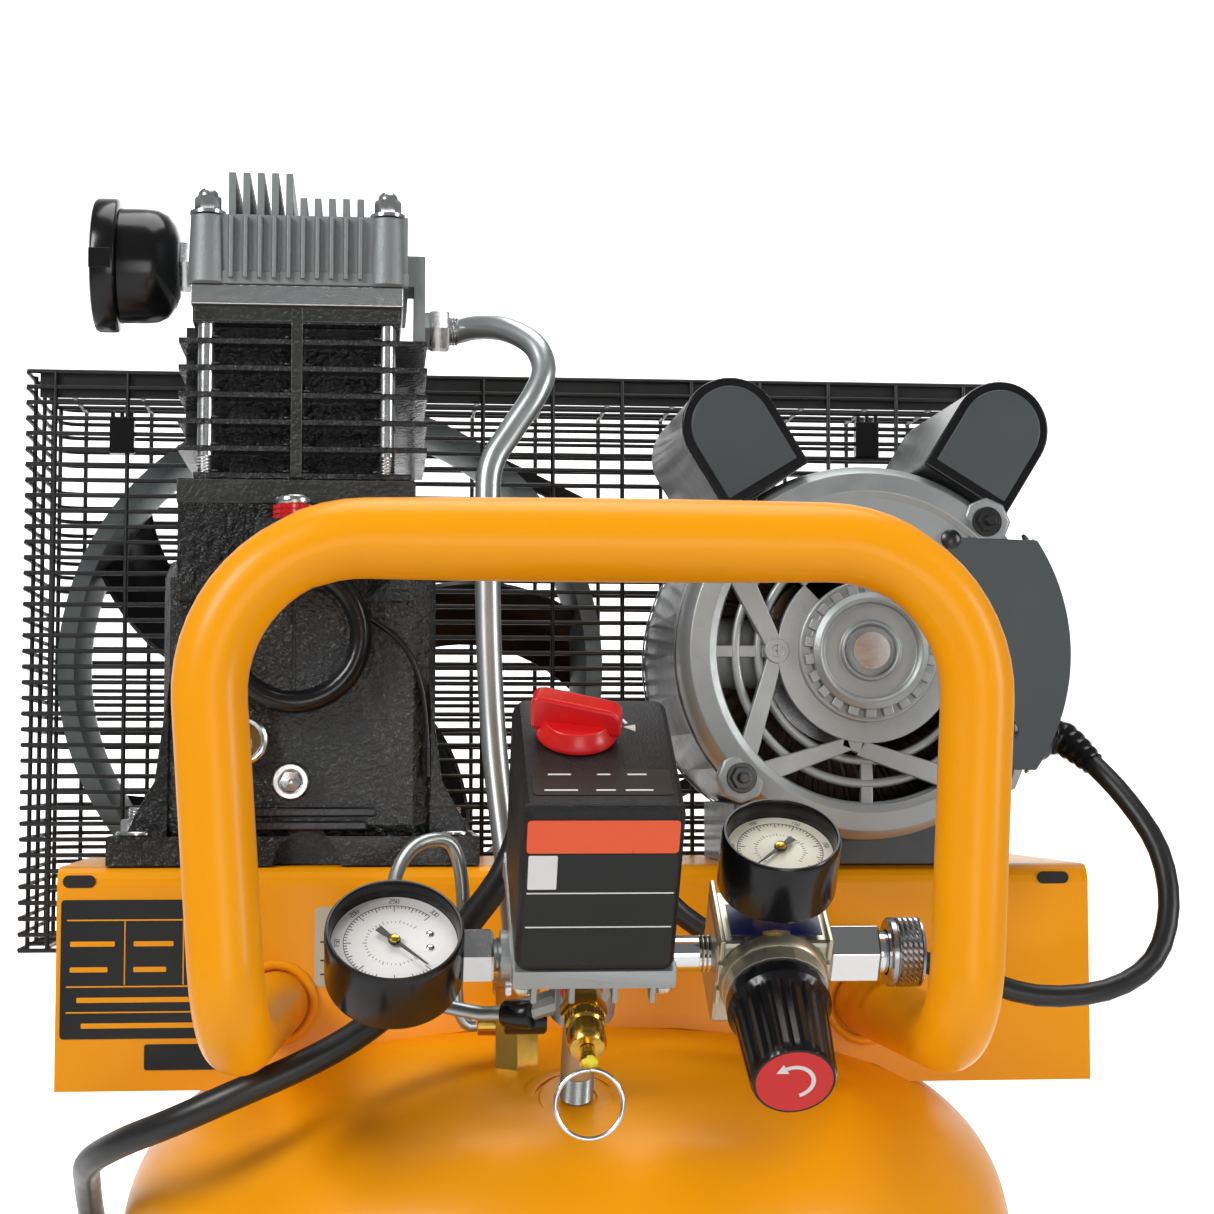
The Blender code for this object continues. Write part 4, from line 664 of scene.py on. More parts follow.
put("intake_lid", bm, GLOSS_BLACK, nodes=["intake_filter_lid"], bevel=0.4)
# The lid's slots are thin dark bars of painted shade in place of open slots.
bm = new()
for i in range(18):
    slot = can @ yaw(tau * i / 18)
    slab(bm, (-0.9, 12, 47), (0.9, 22, 47.7), slot)
put("intake_lid_slots", bm, PAINTED_SLOT_SHADE)

nut_end = PUMP_X + 64 + 1.2
route = [
    (nut_end, -20, 1214.5), (nut_end + 7, -20, 1214.5), (-45, -28, 1215), (-32, -42, 1212), (-20, -55, 1203),
    (-16, -62, 1191), (-20, -66, 1179), (-31, -68, 1162), (-39.5, -70, 1147), (-41, -72, 1125), (-40.5, -76, 1070),
    (-38, -82, 1022), (-33, -94, 975), (-30, -103.5, 944), (-30, -104, 934), (-30, -104, 926.3),
]
put("discharge_line", sweep(new(), curve(route, 4), 5.5, 32), TUBE_ALUMINIUM, nodes=["discharge_tube"], sharp=60)
nut = at((nut_end - 6, -20, 1214.5), RIGHT)
bm = hexagon(new(), nut, 17, 0, 9)
lathe(bm, thread(9, 13, 6.6), nut, 32)
hexagon(bm, move(-30, -104, 0), 17, 922, 931)
put("discharge_nuts", bm, ZINC)
keep("check_valve", BRASS, 0.5)
route = [
    (-46.5, -104, 910), (-51, -104, 911), (-55, -105, 925), (-52, -101, 960), (-57, -103, 984), (-72, -112, 984),
    (-81, -126, 969), (-80, -143, 943), (-68, -154, 926), (-50, -163, 921), (-42, -167.5, 921), (-37, -170.3, 921),
]
put("unloader_line", sweep(new(), curve(route, 3), 2.9, 24), TUBE_ALUMINIUM, nodes=["unloader_tube"], sharp=60)
along = (Vector((-37, -170.3, 921)) - Vector((-50, -163, 921))).normalized()
bm = lathe(new(), [(0, -2), (4.6, -2), (5.4, -1), (5.6, 9), (5.2, 10), (0, 10)], at((-37, -170.3, 921), along), 40)
put("unloader_nut", bm, GLOSS_BLACK)

# Drive

keep("piston", DIE_CAST, 0.4)
keep("crankshaft", MACHINED, 0.4)
WHEEL = at((WHEEL_X, BELT_Y, SHAFT_Z), BACK, UP)
groove = 6.0
rim = [(137.4, 18), (137.5, groove + 1), (128, groove - 1.6), (128, -groove + 1.6), (137.5, -groove - 1),
       (137.4, -18), (129.2, -18), (127.6, -15), (122.5, -3), (122.5, 3), (127.6, 15), (129.2, 18)]
put("flywheel_rim", lathe(new(), rim, WHEEL, 160, closed=True), RIM, "crank_body", ["flywheel"], sharp=30)
bm = new()
for k in range(5):
    rows = []
    for i in range(15):
        t = i / 14
        r = 19 + t * 105
        a = tau * k / 5 + 0.55 * t**1.4
        out = Vector((*polar(1, a), 0))
        tangent = Vector((-out.y, out.x, 0))
        lean = radians(38 - 8 * t)
        chord = tangent * cos(lean) + UP * sin(lean)
        face = out.cross(chord).normalized()
        wide, thick = 15 + 9 * t, 2.4
        rows.append([WHEEL @ (out * r + chord * (wide * u) + face * (thick * v + 3.5 * (1 - u * u))) for u,
                     v in ((-1, -1), (-0.5, -1), (0, -1), (0.5, -1), (1, -1), (1, 1), (0.5, 1), (0, 1), (-0.5, 1),
                           (-1, 1))])
    skin(bm, [[bm.verts.new(p) for p in row] for row in rows])
put("flywheel_blades", bm, SMOOTH_BLACK, "crank_body", bevel=0.6)
hub = [(13.6, -18), (22, -18), (24, -16), (24, 10), (22, 12), (13.6, 12)]
bm = lathe(new(), hub, WHEEL, 64, closed=True)
put("flywheel_hub", bm, SMOOTH_BLACK, "crank_body", bevel=0.5)
bm = hexagon(new(), WHEEL, 17, 11, 17.5)
lathe(bm, disc(13.4, 10.6, 12.4, 0.4), WHEEL, 48)
put("flywheel_bolt", bm, ZINC, "crank_body")

FLYWHEEL_RADIUS, PULLEY_RADIUS, GROOVE_DEPTH, BELT_DEPTH = 137.5, 37, 9.5, 8.4
large, small = (radius - GROOVE_DEPTH + BELT_DEPTH for radius in (FLYWHEEL_RADIUS, PULLEY_RADIUS))


def belt_outline(inset):
    lean = asin((large - small) / (MOTOR_X - WHEEL_X))
    points = []
    for x, radius, start, turn, count in (
        (WHEEL_X, large - inset, pi / 2 - lean, pi + 2 * lean, 80),
        (MOTOR_X, small - inset, 1.5 * pi + lean, pi - 2 * lean, 30),
    ):
        for i in range(count + 1):
            a = start + turn * i / count
            points.append((x + radius * cos(a), SHAFT_Z + radius * sin(a)))
    return points


bm = new()
section = ((0, -5.4), (0, 5.4), (1.2, 5.4), (7.6, 3.4), (7.6, -3.4), (1.2, -5.4))
loops = [[bm.verts.new((x, BELT_Y + side, z)) for x, z in belt_outline(inset)] for inset, side in section]
skin(bm, loops, closed=True)
put("v_belt", bm, BELT, nodes=["drive_belt"])
keep("motor_pulley", DIE_CAST, 0.4)
keep("motor_rotor", MACHINED, 0.4)
keep("motor_stator", COPPER, 0.6)

# Belt guard: a wire cage behind the flywheel and pulley, and a wire panel in front of them


def runs(low, high, holes):
    """What is left of a wire once holes are cut out: each has a middle, a distance off the wire and a radius."""
    left = [(low, high)]
    for middle, off, r in holes:
        if abs(off) < r:
            half = sqrt(r * r - off**2)
            left = [run for a, b in left
                    for run in (((a, middle - half), (middle + half, b)) if a < middle < b else ((a, b),))]
    return left


LOW_X, HIGH_X, LOW_Z, HIGH_Z = -260.6, 224.6, 927.4, 1211.6
GUARD_Y, CAGE_Y = 91.5, 222.6
wire = 1.15
bm = new()
rows = [LOW_Z + (HIGH_Z - LOW_Z) * i / 37 for i in range(38)]
for i, z in enumerate(rows):
    ripple = 0.25 * sin(i * 2.1)
    loop = bent([(LOW_X, 96, z), (LOW_X, CAGE_Y, z), (HIGH_X, CAGE_Y, z + ripple), (HIGH_X, 96, z)], (12, 12), 6)
    sweep(bm, loop, wire, 8)
uprights = [LOW_X + 14 + (HIGH_X - LOW_X - 28) * i / 13 for i in range(14)]
for x in uprights:
    sweep(bm, [(x, CAGE_Y - 2.2, LOW_Z), (x, CAGE_Y - 2.2, HIGH_Z)], wire, 8)
for y in (108, 140, 175, 205):
    for x in (LOW_X + 2.2, HIGH_X - 2.2):
        sweep(bm, [(x, y, LOW_Z), (x, y, HIGH_Z)], wire, 8)
for z in (LOW_Z + 1.2, HIGH_Z - 1.2):
    for x in uprights:
        sweep(bm, [(x, 96, z), (x, CAGE_Y, z)], wire, 8)
    for y in (122, 150, 178, 203):
        sweep(bm, [(LOW_X, y, z), (HIGH_X, y, z)], wire, 8)
put("guard_cage_wires", bm, WIRE, nodes=["belt_guard_outer"], sharp=70)
bm = new()
HOLES = ((WHEEL_X, SHAFT_Z, 36), (MOTOR_X, SHAFT_Z, 30))
for z in rows:
    for a, b in runs(LOW_X, HIGH_X, [(cx, z - cz, r) for cx, cz, r in HOLES]):
        sweep(bm, [(a, GUARD_Y, z), (b, GUARD_Y, z)], wire, 8)
for x in uprights:
    for a, b in runs(LOW_Z, HIGH_Z, [(cz, x - cx, r) for cx, cz, r in HOLES]):
        sweep(bm, [(x, GUARD_Y - 0.1, a), (x, GUARD_Y - 0.1, b)], wire, 8)
for cx, cz, r in HOLES:
    rim = [polar(r, tau * i / 48) for i in range(48)]
    sweep(bm, [(cx + x, GUARD_Y, cz + z) for x, z in rim], 1.4, 8, closed=True)
put("guard_panel_wires", bm, WIRE, nodes=["belt_guard_inner"], sharp=70)
bm = slab(new(), (LOW_X + 6, 93.5, 1199), (HIGH_X - 4, 95.5, 1212))
slab(bm, (LOW_X + 6, 95, 1210.4), (HIGH_X - 4, 108, 1212.4))
put("guard_top_channel", bm, WIRE, bevel=0.5)
bm = new()
for x, z in ((-214, 1181), (160, 1184)):
    slab(bm, (x - 6, 88.9, z - 10), (x + 6, 95, z + 8))
    for dx in (-4.5, 0, 4.5):
        slab(bm, (x + dx - 1, 89.2, z + 8), (x + dx + 1, 93, z + 11))
put("guard_clips", bm, GLOSS_BLACK, bevel=0.5)

# Motor

BELL_Y = -60
MOTOR = facing(MOTOR_X, BELL_Y, SHAFT_Z)
bm = new()
shell_ring = [(66.5, 6), (66.5, 18.5), (70, 20.4), (78, 18.4), (81.2, 14), (82, 8), (82, 0.3), (79, 0.3), (78.4, 6)]
lathe(bm, shell_ring, MOTOR, 128, closed=True)
prism(bm, sector(29, 72, 28, 107, 40), 15, 18.8, MOTOR)
prism(bm, sector(29, 70, -12, 22, 16), 15, 18.6, MOTOR)
prism(bm, sector(29, 40, 0, 359.9, 72), 14, 18.8, MOTOR)
hub = [(0, 14), (31, 14), (31, 19.6), (30.2, 20.4), (25.8, 20.4), (25.4, 24.8), (22.9, 26.6), (22.2, 26.6),
       (21, 25.6), (20.4, 23.6), (13.4, 23.4), (12.8, 24.8), (12, 25.2), (11.2, 24.4), (10.6, 22.6), (0, 22.2)]
lathe(bm, hub, MOTOR, 96)
put("motor_end_bell", bm, DIE_CAST, nodes=["motor_front_bell"], bevel=0.9, sharp=32)
bm = new()
for k in range(22):
    spoke = MOTOR @ yaw(tau * k / 22)
    slab(bm, (-2.3, 23, 19.6), (2.3, 29, 24.2), spoke)
put("motor_hub_lugs", bm, DIE_CAST, bevel=0.5)

BELL_BOLTS = ((-56, -55), (53, 57), (57, -52), (-56, 55))


def strut(bm, x0, y0, x1, y1, wide0, wide1, low=12.5, high=18.4):
    """A tapered rib between two places on the bell's face."""
    run = Vector((x1 - x0, y1 - y0))
    side = Vector((-run.y, run.x)).normalized()
    outline = [(x + side.x * wide / 2, y + side.y * wide / 2)
               for x, y, wide in ((x0, y0, wide0), (x0, y0, -wide0), (x1, y1, -wide1), (x1, y1, wide1))]
    prism(bm, outline, low, high, MOTOR)


bm = new()
for ends in ((-26, 6, -40, 0, 10, 7), (-40, 0, -63, 47, 7, 12), (-40, 0, -56, -55, 6.5, 9), (-2, -28, -8, -43, 14, 9),
             (-8, -40, -56, -56, 6, 10), (-4, -42, 44, -58, 7, 10), (0, -44, 0, -80, 5.4, 5.4, 10, 14),
             (-42, 0, -80, 0, 5.4, 5.4, 10, 14)):
    strut(bm, *ends)
lathe(bm, [(0, 12.5), (5.6, 12.5), (5.6, 19), (2.4, 19), (2.4, 16), (0, 16)], MOTOR @ move(-40, 0, 0), 32)
for x, y in BELL_BOLTS:
    pad = [(0, 12), (11, 12), (11, 18.6), (10, 19.6), (0, 19.6)]
    lathe(bm, pad, MOTOR @ move(x, y, 0), 8)
put("motor_bell_struts", bm, DIE_CAST, bevel=0.8, sharp=32)
bm = new()
for r in (47.5, 57.5, 67.5):
    turn = [radians(130 + 205 * i / 60) for i in range(61)]
    sweep(bm, [MOTOR @ Vector((*polar(r, a), 12.6)) for a in turn], 2.1, 14)
put("motor_grille_rings", bm, DIE_CAST, sharp=60)
bm = lathe(new(), [(42, -36), (42, -12), (48, -8), (64, -8), (74, -12), (76, -36)], MOTOR, 96, closed=True)
put("motor_end_winding", bm, COPPER)
bm = new()
for k in range(54):
    a = tau * k / 54
    strand = enumerate(((45, -10), (52, -7), (62, -7), (72, -10)))
    sweep(bm, [MOTOR @ Vector((*polar(r, a + 0.05 * i), z)) for i, (r, z) in strand], 1.5, 6)
put("motor_winding_strands", bm, COPPER)
start_switch = at((MOTOR_X - 60, -50, SHAFT_Z), RIGHT, UP)
bm = lathe(new(), disc(15.5, -6, 26, 1.2), start_switch, 48)
lathe(bm, [(15.6, 4), (16.2, 4.4), (16.2, 6.6), (15.6, 7)], start_switch, 48)
put("motor_start_switch", bm, surface("grey_moulding", (0.36, 0.38, 0.38), 0.4, 0, [(900, 0.03)], 0.1, 0.06))
bm = new()
for x, y in BELL_BOLTS:
    spot = MOTOR @ move(x, y, 19.5)
    hexagon(bm, spot, 9, 0, 4.6)
    lathe(bm, disc(6.6, -0.1, 1.1, 0.3), spot, 32)
    lathe(bm, thread(4.4, 9, 2.4), spot, 16)
for x, y in ((37, 49), (62, -34)):
    spot = MOTOR @ move(x, y, 18.9)
    lathe(bm, [(0, 0), (4.4, 0), (4.4, 1.4), (3, 2.6), (0, 3)], spot, 32)
put("motor_bell_fasteners", bm, surface("black_oxide_steel", (0.06, 0.06, 0.06), 0.3, 0.9, [(900, 0.03)], 0.2, 0.1))
plate = [polar(90, radians(a)) for a in range(-35, 35, 2)]
plate += [(40, 50), (34, 44), (34, -44), (40, -51)]
bm = prism(new(), plate, 18.9, 20.5, MOTOR)
put("motor_access_plate", bm, PLATE_GREY, bevel=0.6)

keep("motor_shell", DARK_PAINT, 0.8)
# Raised ribs along the shell in lighter die-cast metal: partly real ribs, partly a painted reflection of the guard's
# wires, whose spacing they share.
bm = new()
for y in (-44, -30, -16):
    for k in range(13):
        rib_frame = at((MOTOR_X, y, SHAFT_Z), BACK, UP) @ yaw(radians(62 + k * 5.2))
        prism(bm, rounded(2.6, 10.5, 1.2, 3), 80.8, 83.0, rib_frame @ Matrix.Rotation(radians(-90), 4, "X"))
put("motor_shell_ribs_and_painted_reflection", bm, DIE_CAST, bevel=0.3)
bm = lathe(new(), [(82.1, -0.8), (82.8, -0.4), (82.8, 3.4), (82.1, 3.8)], MOTOR @ move(0, 0, -5), 128, closed=True)
lathe(bm, [(82.1, 0), (82.7, 0.4), (82.7, 3.4), (82.1, 3.8)], MOTOR @ move(0, 0, -128), 128, closed=True)
put("motor_shell_bands", bm, DARK_PAINT, sharp=30)


def capsule(wide, low, high, steps=16):
    """An outline with a round top and a straight bottom."""
    top = [polar(wide, pi * i / steps) for i in range(steps + 1)]
    return [(x, high - wide + y) for x, y in top] + [(-wide, low), (wide, low)]


CAP_LEAN = radians(31.5)
for side, sign in (("left", -1), ("right", 1)):
    away = Vector((sign * sin(CAP_LEAN), 0, cos(CAP_LEAN)))
    cover = at((MOTOR_X, -80, SHAFT_Z), -BACK, away)
    bm = prism(new(), capsule(21, 83.6, 136, 24), -120, -4, cover)
    put(f"motor_{side}_cap_body", bm, CAP_PAINT, nodes=[f"capacitor_cover_{side}"], bevel=2.4)
    bm = prism(new(), capsule(21.4, 83.6, 136.3, 24), -4.6, -1.2, cover)
    put(f"motor_{side}_cap_rim", bm, GLOSS_BLACK, bevel=1.0)
    bm = prism(new(), capsule(17.6, 88, 132.4, 24), -1.6, 0.0, cover)
    put(f"motor_{side}_cap_face", bm, PLATE_GREY, bevel=0.7)
bm = prism(new(), sector(82.4, 89.6, -35, 69, 40), -89, 18.8, MOTOR)
put("wiring_cover_shell", bm, PLATE_GREY, nodes=["wiring_cover"], bevel=0.9)
bm = lathe(new(), [(0, 0), (10.5, 0), (10.5, 12), (9.4, 13.6), (0, 13.6)], at((201.2, -40, 1030), RIGHT, UP), 40)
put("wiring_cover_gland", bm, DARK_PAINT)
bm = new()
for y in (-66, 18):
    for z in (-34, 34):
        turn = Vector((cos(radians(z)), 0, sin(radians(z))))
        spot = at(Vector((MOTOR_X, y, SHAFT_Z)) + turn * 89.4, turn, BACK)
        lathe(bm, [(0, 0), (3.2, 0), (3.2, 0.9), (2, 1.4), (0, 1.5)], spot, 24)
put("wiring_cover_screws", bm, ZINC)
relief("motor_cable_relief", lead_path, LEAD_RADIUS, 26)
bm = hexagon(new(), at((215.0, -40, 1030), RIGHT, UP), 15, -0.2, 3.6)
put("motor_cable_nut", bm, GLOSS_BLACK)

# Controls

bm = lathe(new(), [(4.4, 6.3), (6.2, 6.3)] + [(6.2 + (0.65 if i % 2 else 0.1), 7 + i * 0.65) for i in range(20)]
           + [(6.85, 20), (6.85, 49.7), (4.4, 49.7)], PIPE, 48, closed=True)
put("tank_riser_pipe", bm, TUBE_ALUMINIUM, nodes=["tank_pipe"], sharp=50)
keep("switch_base", DIE_CAST, 0.9)
bm = new()
for x in (-26, 26):
    for y in (-33, 33):
        lathe(bm, [(0, 88.6), (4.2, 88.6), (4.6, 90), (4.6, 97.4), (0, 97.4)], PIPE @ move(x, y, 0), 28)
for x in (-22, -8, 8, 22):
    slab(bm, (x - 1.1, -37.6, 82.5), (x + 1.1, -18, 90.2), PIPE)
put("switch_base_lugs", bm, DIE_CAST, bevel=0.5)
bm = new()
for x in (-26, 26):
    lathe(bm, [(0, 85.6), (3.2, 85.6), (3.6, 86.4), (3.6, 88.8), (0, 88.8)], PIPE @ move(x, -33, 0), 28)
put("switch_base_screws", bm, ZINC)

bm = new()
shoulder = []
for z, inset in ((98.1, 0.8), (100, 0), (164, 0), (167.4, 0.9), (169.3, 2.8), (169.9, 5.4)):
    ring = rounded(59 - 2 * inset, 76 - 2 * inset, 5.4 - min(inset, 3), 6)
    shoulder.append([bm.verts.new(PIPE @ Vector((x, y, z))) for x, y in ring])
skin(bm, shoulder)
put("switch_housing", bm, PLASTIC, nodes=["switch_cover"], sharp=32)
bm = slab(new(), (-28.8, -36.3, 165.8), (28.8, -33.4, 169.2), PIPE)
put("switch_front_ridge", bm, PLASTIC, bevel=1.0)
top = PIPE @ move(0, 0, 169.9)
put("switch_nameplate", prism(new(), rounded(50, 16.5, 1.6, 4, (0, -22)), -0.1, 0.3, top), LABEL_DARK)
bm = new()
for x, wide in ((-15, 12), (1, 7), (13, 10)):
    prism(bm, rounded(wide, 0.8, 0.3, 2, (x, -27.4)), 0.2, 0.45, top)
    prism(bm, rounded(wide * 0.7, 0.8, 0.3, 2, (x, -17.2)), 0.2, 0.45, top)
put("switch_nameplate_rules", bm, LABEL_WHITE)
arc = sector(20.2, 21.4, 22, 62, 20)
bm = prism(new(), arc, -0.1, 0.3, top @ move(-7, 10, 0))
tip = [(0, 0), (5, 1.8), (1.2, 4.6)]
prism(bm, tip, -0.1, 0.3, top @ move(11.0, 15.4, 0) @ yaw(radians(-58)))
put("switch_turn_arrow", bm, LABEL_WHITE)
face = PIPE @ Matrix(((1, 0, 0, 0), (0, 0, 1, -38), (0, 1, 0, 0), (0, 0, 0, 1)))


def face_film(name, x0, x1, z0, z1, material, proud=0.3, radius=1.4):
    """A thin film on the switch's front face."""
    outline = rounded(x1 - x0, z1 - z0, radius, 4, ((x0 + x1) / 2, (z0 + z1) / 2))
    put(name, prism(new(), outline, -proud, 0.1, face), material)


face_film("switch_orange_band", -27.2, 27.2, 150.5, 164.4, LABEL_ORANGE, 0.25)
face_film("switch_dark_label", -27.2, 27.2, 101, 150.2, LABEL_DARK)
for i, z in enumerate((133, 118)):
    face_film(f"switch_label_rule_{i}", -26.6, 26.6, z, z + 0.5, LABEL_WHITE, 0.45, 0.2)
face_film("switch_label_panel", -26.4, -16, 135, 149.6, LABEL_WHITE, 0.45, 0.6)
spin = PIPE @ move(-7, 10, 170.3)
bm = lathe(new(), [(0, 0), (15, 0), (15, 2), (13.6, 4), (12.4, 7), (0, 7)], spin, 64)
put("switch_knob_skirt", bm, RED, "switch_knob_body", ["switch_knob"], bevel=0.5)
grip = spin @ yaw(radians(-12))
side = [(-16.6, 3), (16.6, 3), (16.4, 11), (14, 13.5), (-12.5, 16.6), (-16, 16), (-17, 13)]
bm = prism(new(), side, -4.7, 4.7, grip @ FRONT)
put("switch_knob_grip", bm, RED, "switch_knob_body", bevel=1.5)

DIGITS = {
    "0": ((0, 0), (1, 0), (1, 2), (0, 2), (0, 0)),
    "1": ((0.5, 0), (0.5, 2), (0.2, 1.7)),
    "2": ((0, 2), (1, 2), (1, 1), (0, 1), (0, 0), (1, 0)),
    "3": ((0, 2), (1, 2), (1, 1), (0.3, 1), (1, 1), (1, 0), (0, 0)),
    "5": ((1, 2), (0, 2), (0, 1), (1, 1), (1, 0), (0, 0)),
}


def dial(name, frame_matrix, radius, floor, face_material, numbers, first, sweep_deg, small):
    """A dial face with its ticks and numbers, read clockwise from the first angle, in degrees."""
    put(f"{name}_face", lathe(new(), disc(radius, floor, floor + 0.5, 0.1), frame_matrix, 96), face_material)
    bm = new()
    steps = (len(numbers) - 1) * 10
    rim, inner = radius * 0.8, radius * 0.43
    for i in range(steps + 1):
        a = first - sweep_deg * i / steps
        long = 3.0 if i % 10 == 0 else 2.2 if i % 5 == 0 else 1.3
        tick = frame_matrix @ yaw(radians(a))
        slab(bm, (rim - long, -0.14, floor + 0.4), (rim, 0.14, floor + 0.62), tick)
    turn = [radians(first - sweep_deg * i / 90) for i in range(91)]
    sweep(bm, [frame_matrix @ Vector((*polar(rim, a), floor + 0.5)) for a in turn], 0.13, 6)
    for i in range(33):
        a = first - sweep_deg * i / 32
        tick = frame_matrix @ yaw(radians(a))
        slab(bm, (inner, -0.1, floor + 0.4), (inner + (0.9 if i % 4 else 1.6), 0.1, floor + 0.6), tick)
    for i, number in enumerate(numbers):
        turn = radians(first - sweep_deg * i / (len(numbers) - 1))
        place = frame_matrix @ move(*polar(radius * 0.9, turn), 0)
        place = place @ yaw(turn - pi / 2)
        for k, digit in enumerate(number):
            x = (k - (len(number) - 1) / 2) * small * 1.45 - small / 2
            points = [place @ Vector((x + px * small, (py - 1) * small, floor + 0.5)) for px, py in DIGITS[digit]]
            sweep(bm, points, small * 0.14, 6)
    put(f"{name}_print", bm, INK, sharp=60)


def gauge_case(name, matrix, radius, back, front, node):
    case = [(0, back), (radius - 2.4, back), (radius - 0.6, back + 0.8), (radius, back + 2.6), (radius, front - 3),
            (radius - 0.3, front - 0.8), (radius - 0.9, front), (radius - 1.6, front), (radius - 2.1, front - 0.8),
            (radius - 2.3, front - 8.5), (0, front - 8.5)]
    put(name, lathe(new(), case, matrix, 128), GLOSS_BLACK, nodes=[node], sharp=38)


def needle(name, matrix, body, node, angle, ahead_long, tail_long, height, hub):
    spin = matrix @ yaw(radians(angle))
    bm = prism(new(), [(-tail_long, -1.5), (-3, -0.9), (ahead_long, -0.2), (ahead_long, 0.2), (-3, 0.9),
                       (-tail_long, 1.5)], height, height + 0.5, spin)
    lathe(bm, disc(2.4, height - 0.4, height + 0.9, 0.2), spin, 32)
    put(name, bm, INK, body, [node])
    put(f"{name}_hub", lathe(new(), [(0, height + 0.8), (2.1, height + 0.8), (1.9, height + 1.6), (1, height + 2),
                                     (0, height + 2)], spin, 32), hub, body)


GAUGE_TILT = radians(47)
GAUGE = at((-81.3, LINE_Y, LINE_Z), (0, -cos(GAUGE_TILT), sin(GAUGE_TILT)), UP)
gauge_case("tank_gauge_case", GAUGE, 26.5, -13, 15, "tank_gauge")
stem = at((-56.2, LINE_Y, LINE_Z), RIGHT)
bm = hexagon(new(), stem, 19, 0, 12.4)
lathe(bm, thread(12, 21, 6.7, 1.4), stem, 40)
put("tank_gauge_stem", bm, ZINC, sharp=30)
dial("tank_gauge", GAUGE, 24.1, 6.6, WHITE, ("0", "50", "100", "150", "200", "250", "300"), -45, 270, 0.95)
bm = new()
for y in (-2.6, 4.4):
    lathe(bm, [(0, 7), (1.5, 7), (1.5, 7.5), (1, 7.9), (0, 7.9)], GAUGE @ move(13.5, y, 0), 20)
put("tank_gauge_screws", bm, ZINC)
needle("tank_gauge_needle", GAUGE, "tank_pointer_body", "tank_gauge_pointer", -45, 17.5, 8.6, 8.6, BRASS)

REG_TILT = radians(54)
REG_UP = Vector((0, -cos(REG_TILT), sin(REG_TILT)))
KNOB_OUT = Vector((0, -sin(REG_TILT), -cos(REG_TILT)))
REG_GAUGE = at((62.5, LINE_Y, LINE_Z), REG_UP, UP)
gauge_case("outlet_gauge_case", REG_GAUGE, 22.6, 32, 58, "regulator_gauge")
bm = hexagon(new(), REG_GAUGE, 14, 24.5, 31.8)
put("outlet_gauge_stem", bm, BRASS)
dial("outlet_gauge", REG_GAUGE, 20.2, 49.6, CREAM, ("0", "50", "100", "150", "200", "250"), 225, 270, 0.8)
needle("outlet_gauge_needle", REG_GAUGE, "regulator_pointer_body", "regulator_gauge_pointer", 225, 14.5, 7.4, 51.4,
       BRASS)

keep("regulator_body", NICKEL, 1.3)
REG = at((62.5, LINE_Y, LINE_Z), KNOB_OUT, REG_UP)
bm = new()
for x in (-21.6, 19.6):
    for y0, y1 in ((-13.2, -5), (-3, 7), (9, 18.6)):
        slab(bm, (x, y0, -22), (x + 2, y1, 15.4), REG)
put("regulator_side_rails", bm, NICKEL, bevel=0.6)
bm = slab(new(), (-17.5, 18.8, -6), (17.5, 19.3, 12), REG)
put("regulator_label", bm, LABEL_BLUE)
bm = lathe(new(), [(17.6, 14), (17.6, 18), (18.4, 19.2), (20.2, 19.2), (21, 18), (21, 14)], REG, 80, closed=True)
put("regulator_collar", bm, NICKEL, sharp=50)
keep("regulator_spindle", MACHINED, 0.3)
ribs = 26
bm = new()
rows = []
for h, r, deep in ((26.3, 19.4, 0), (28.5, 19.9, 0), (33, 19.8, 0), (35.5, 18.2, 0.2), (40, 17.6, 0.9),
                   (66, 16.2, 0.9), (69.5, 15.9, 0.4), (71.2, 15.1, 0)):
    ring = []
    for i in range(ribs * 4):
        a = tau * i / (ribs * 4)
        ring.append(bm.verts.new(REG @ Vector((*polar(r if i % 4 else r - deep, a), h))))
    rows.append(ring)
skin(bm, rows)
put("regulator_grip", bm, GLOSS_BLACK, "regulator_knob_body", ["regulator_knob"], sharp=26)
put("regulator_cap", lathe(new(), rod(14.2, 71, 71.3), REG, 80), RED, "regulator_knob_body")
bm = prism(new(), sector(6.2, 7.8, -70, 190, 30), 71.2, 71.4, REG)
prism(bm, [(-2.4, 0), (2.4, 0), (0, 4)], 71.2, 71.4, REG @ yaw(radians(120)) @ move(7, 0, 0))
put("regulator_cap_arrow", bm, LABEL_WHITE, "regulator_knob_body")

OUTLET = at((84.8, LINE_Y, LINE_Z), RIGHT, UP)
bm = hexagon(new(), OUTLET, 21.2, 0.2, 20.2)
lathe(bm, thread(-1.6, 0.6, 9), OUTLET, 48)
lathe(bm, [(0, 20), (8.3, 20), (8.3, 33), (7.4, 35), (0, 35)], OUTLET, 64)
put("outlet_coupler_hex", bm, CHROME, nodes=["coupler_body"], sharp=30, bevel=0.4)
bm = new()
steps, high = 60, 8


def sleeve_ring(radius, along):
    return [bm.verts.new(OUTLET @ Vector((*polar(radius, tau * i / steps), along))) for i in range(steps)]


grid = [sleeve_ring(12.3, 27.4)]
for h in range(high + 1):
    ring = []
    for i in range(steps):
        a = tau * (i + 0.5 * (h % 2)) / steps
        r = 13.4 if (i + h) % 2 else 12.75
        ring.append(bm.verts.new(OUTLET @ Vector((*polar(r, a), 27.4 + h * 1.05))))
    grid.append(ring)
grid.append(sleeve_ring(12.3, 35.8))
for a, b in zip(grid, grid[1:] + grid[:1]):
    for i in range(steps):
        j = (i + 1) % steps
        bm.faces.new((a[i], a[j], b[j]))
        bm.faces.new((a[i], b[j], b[i]))
lathe(bm, [(8.9, 23.9), (12.6, 23.9), (13.4, 24.8), (13.4, 26.6), (12.4, 27.2), (12.4, 36), (13.2, 36.2),
           (13.4, 36.8), (12.6, 37.4), (8.9, 37.4)], OUTLET, 64, closed=True)
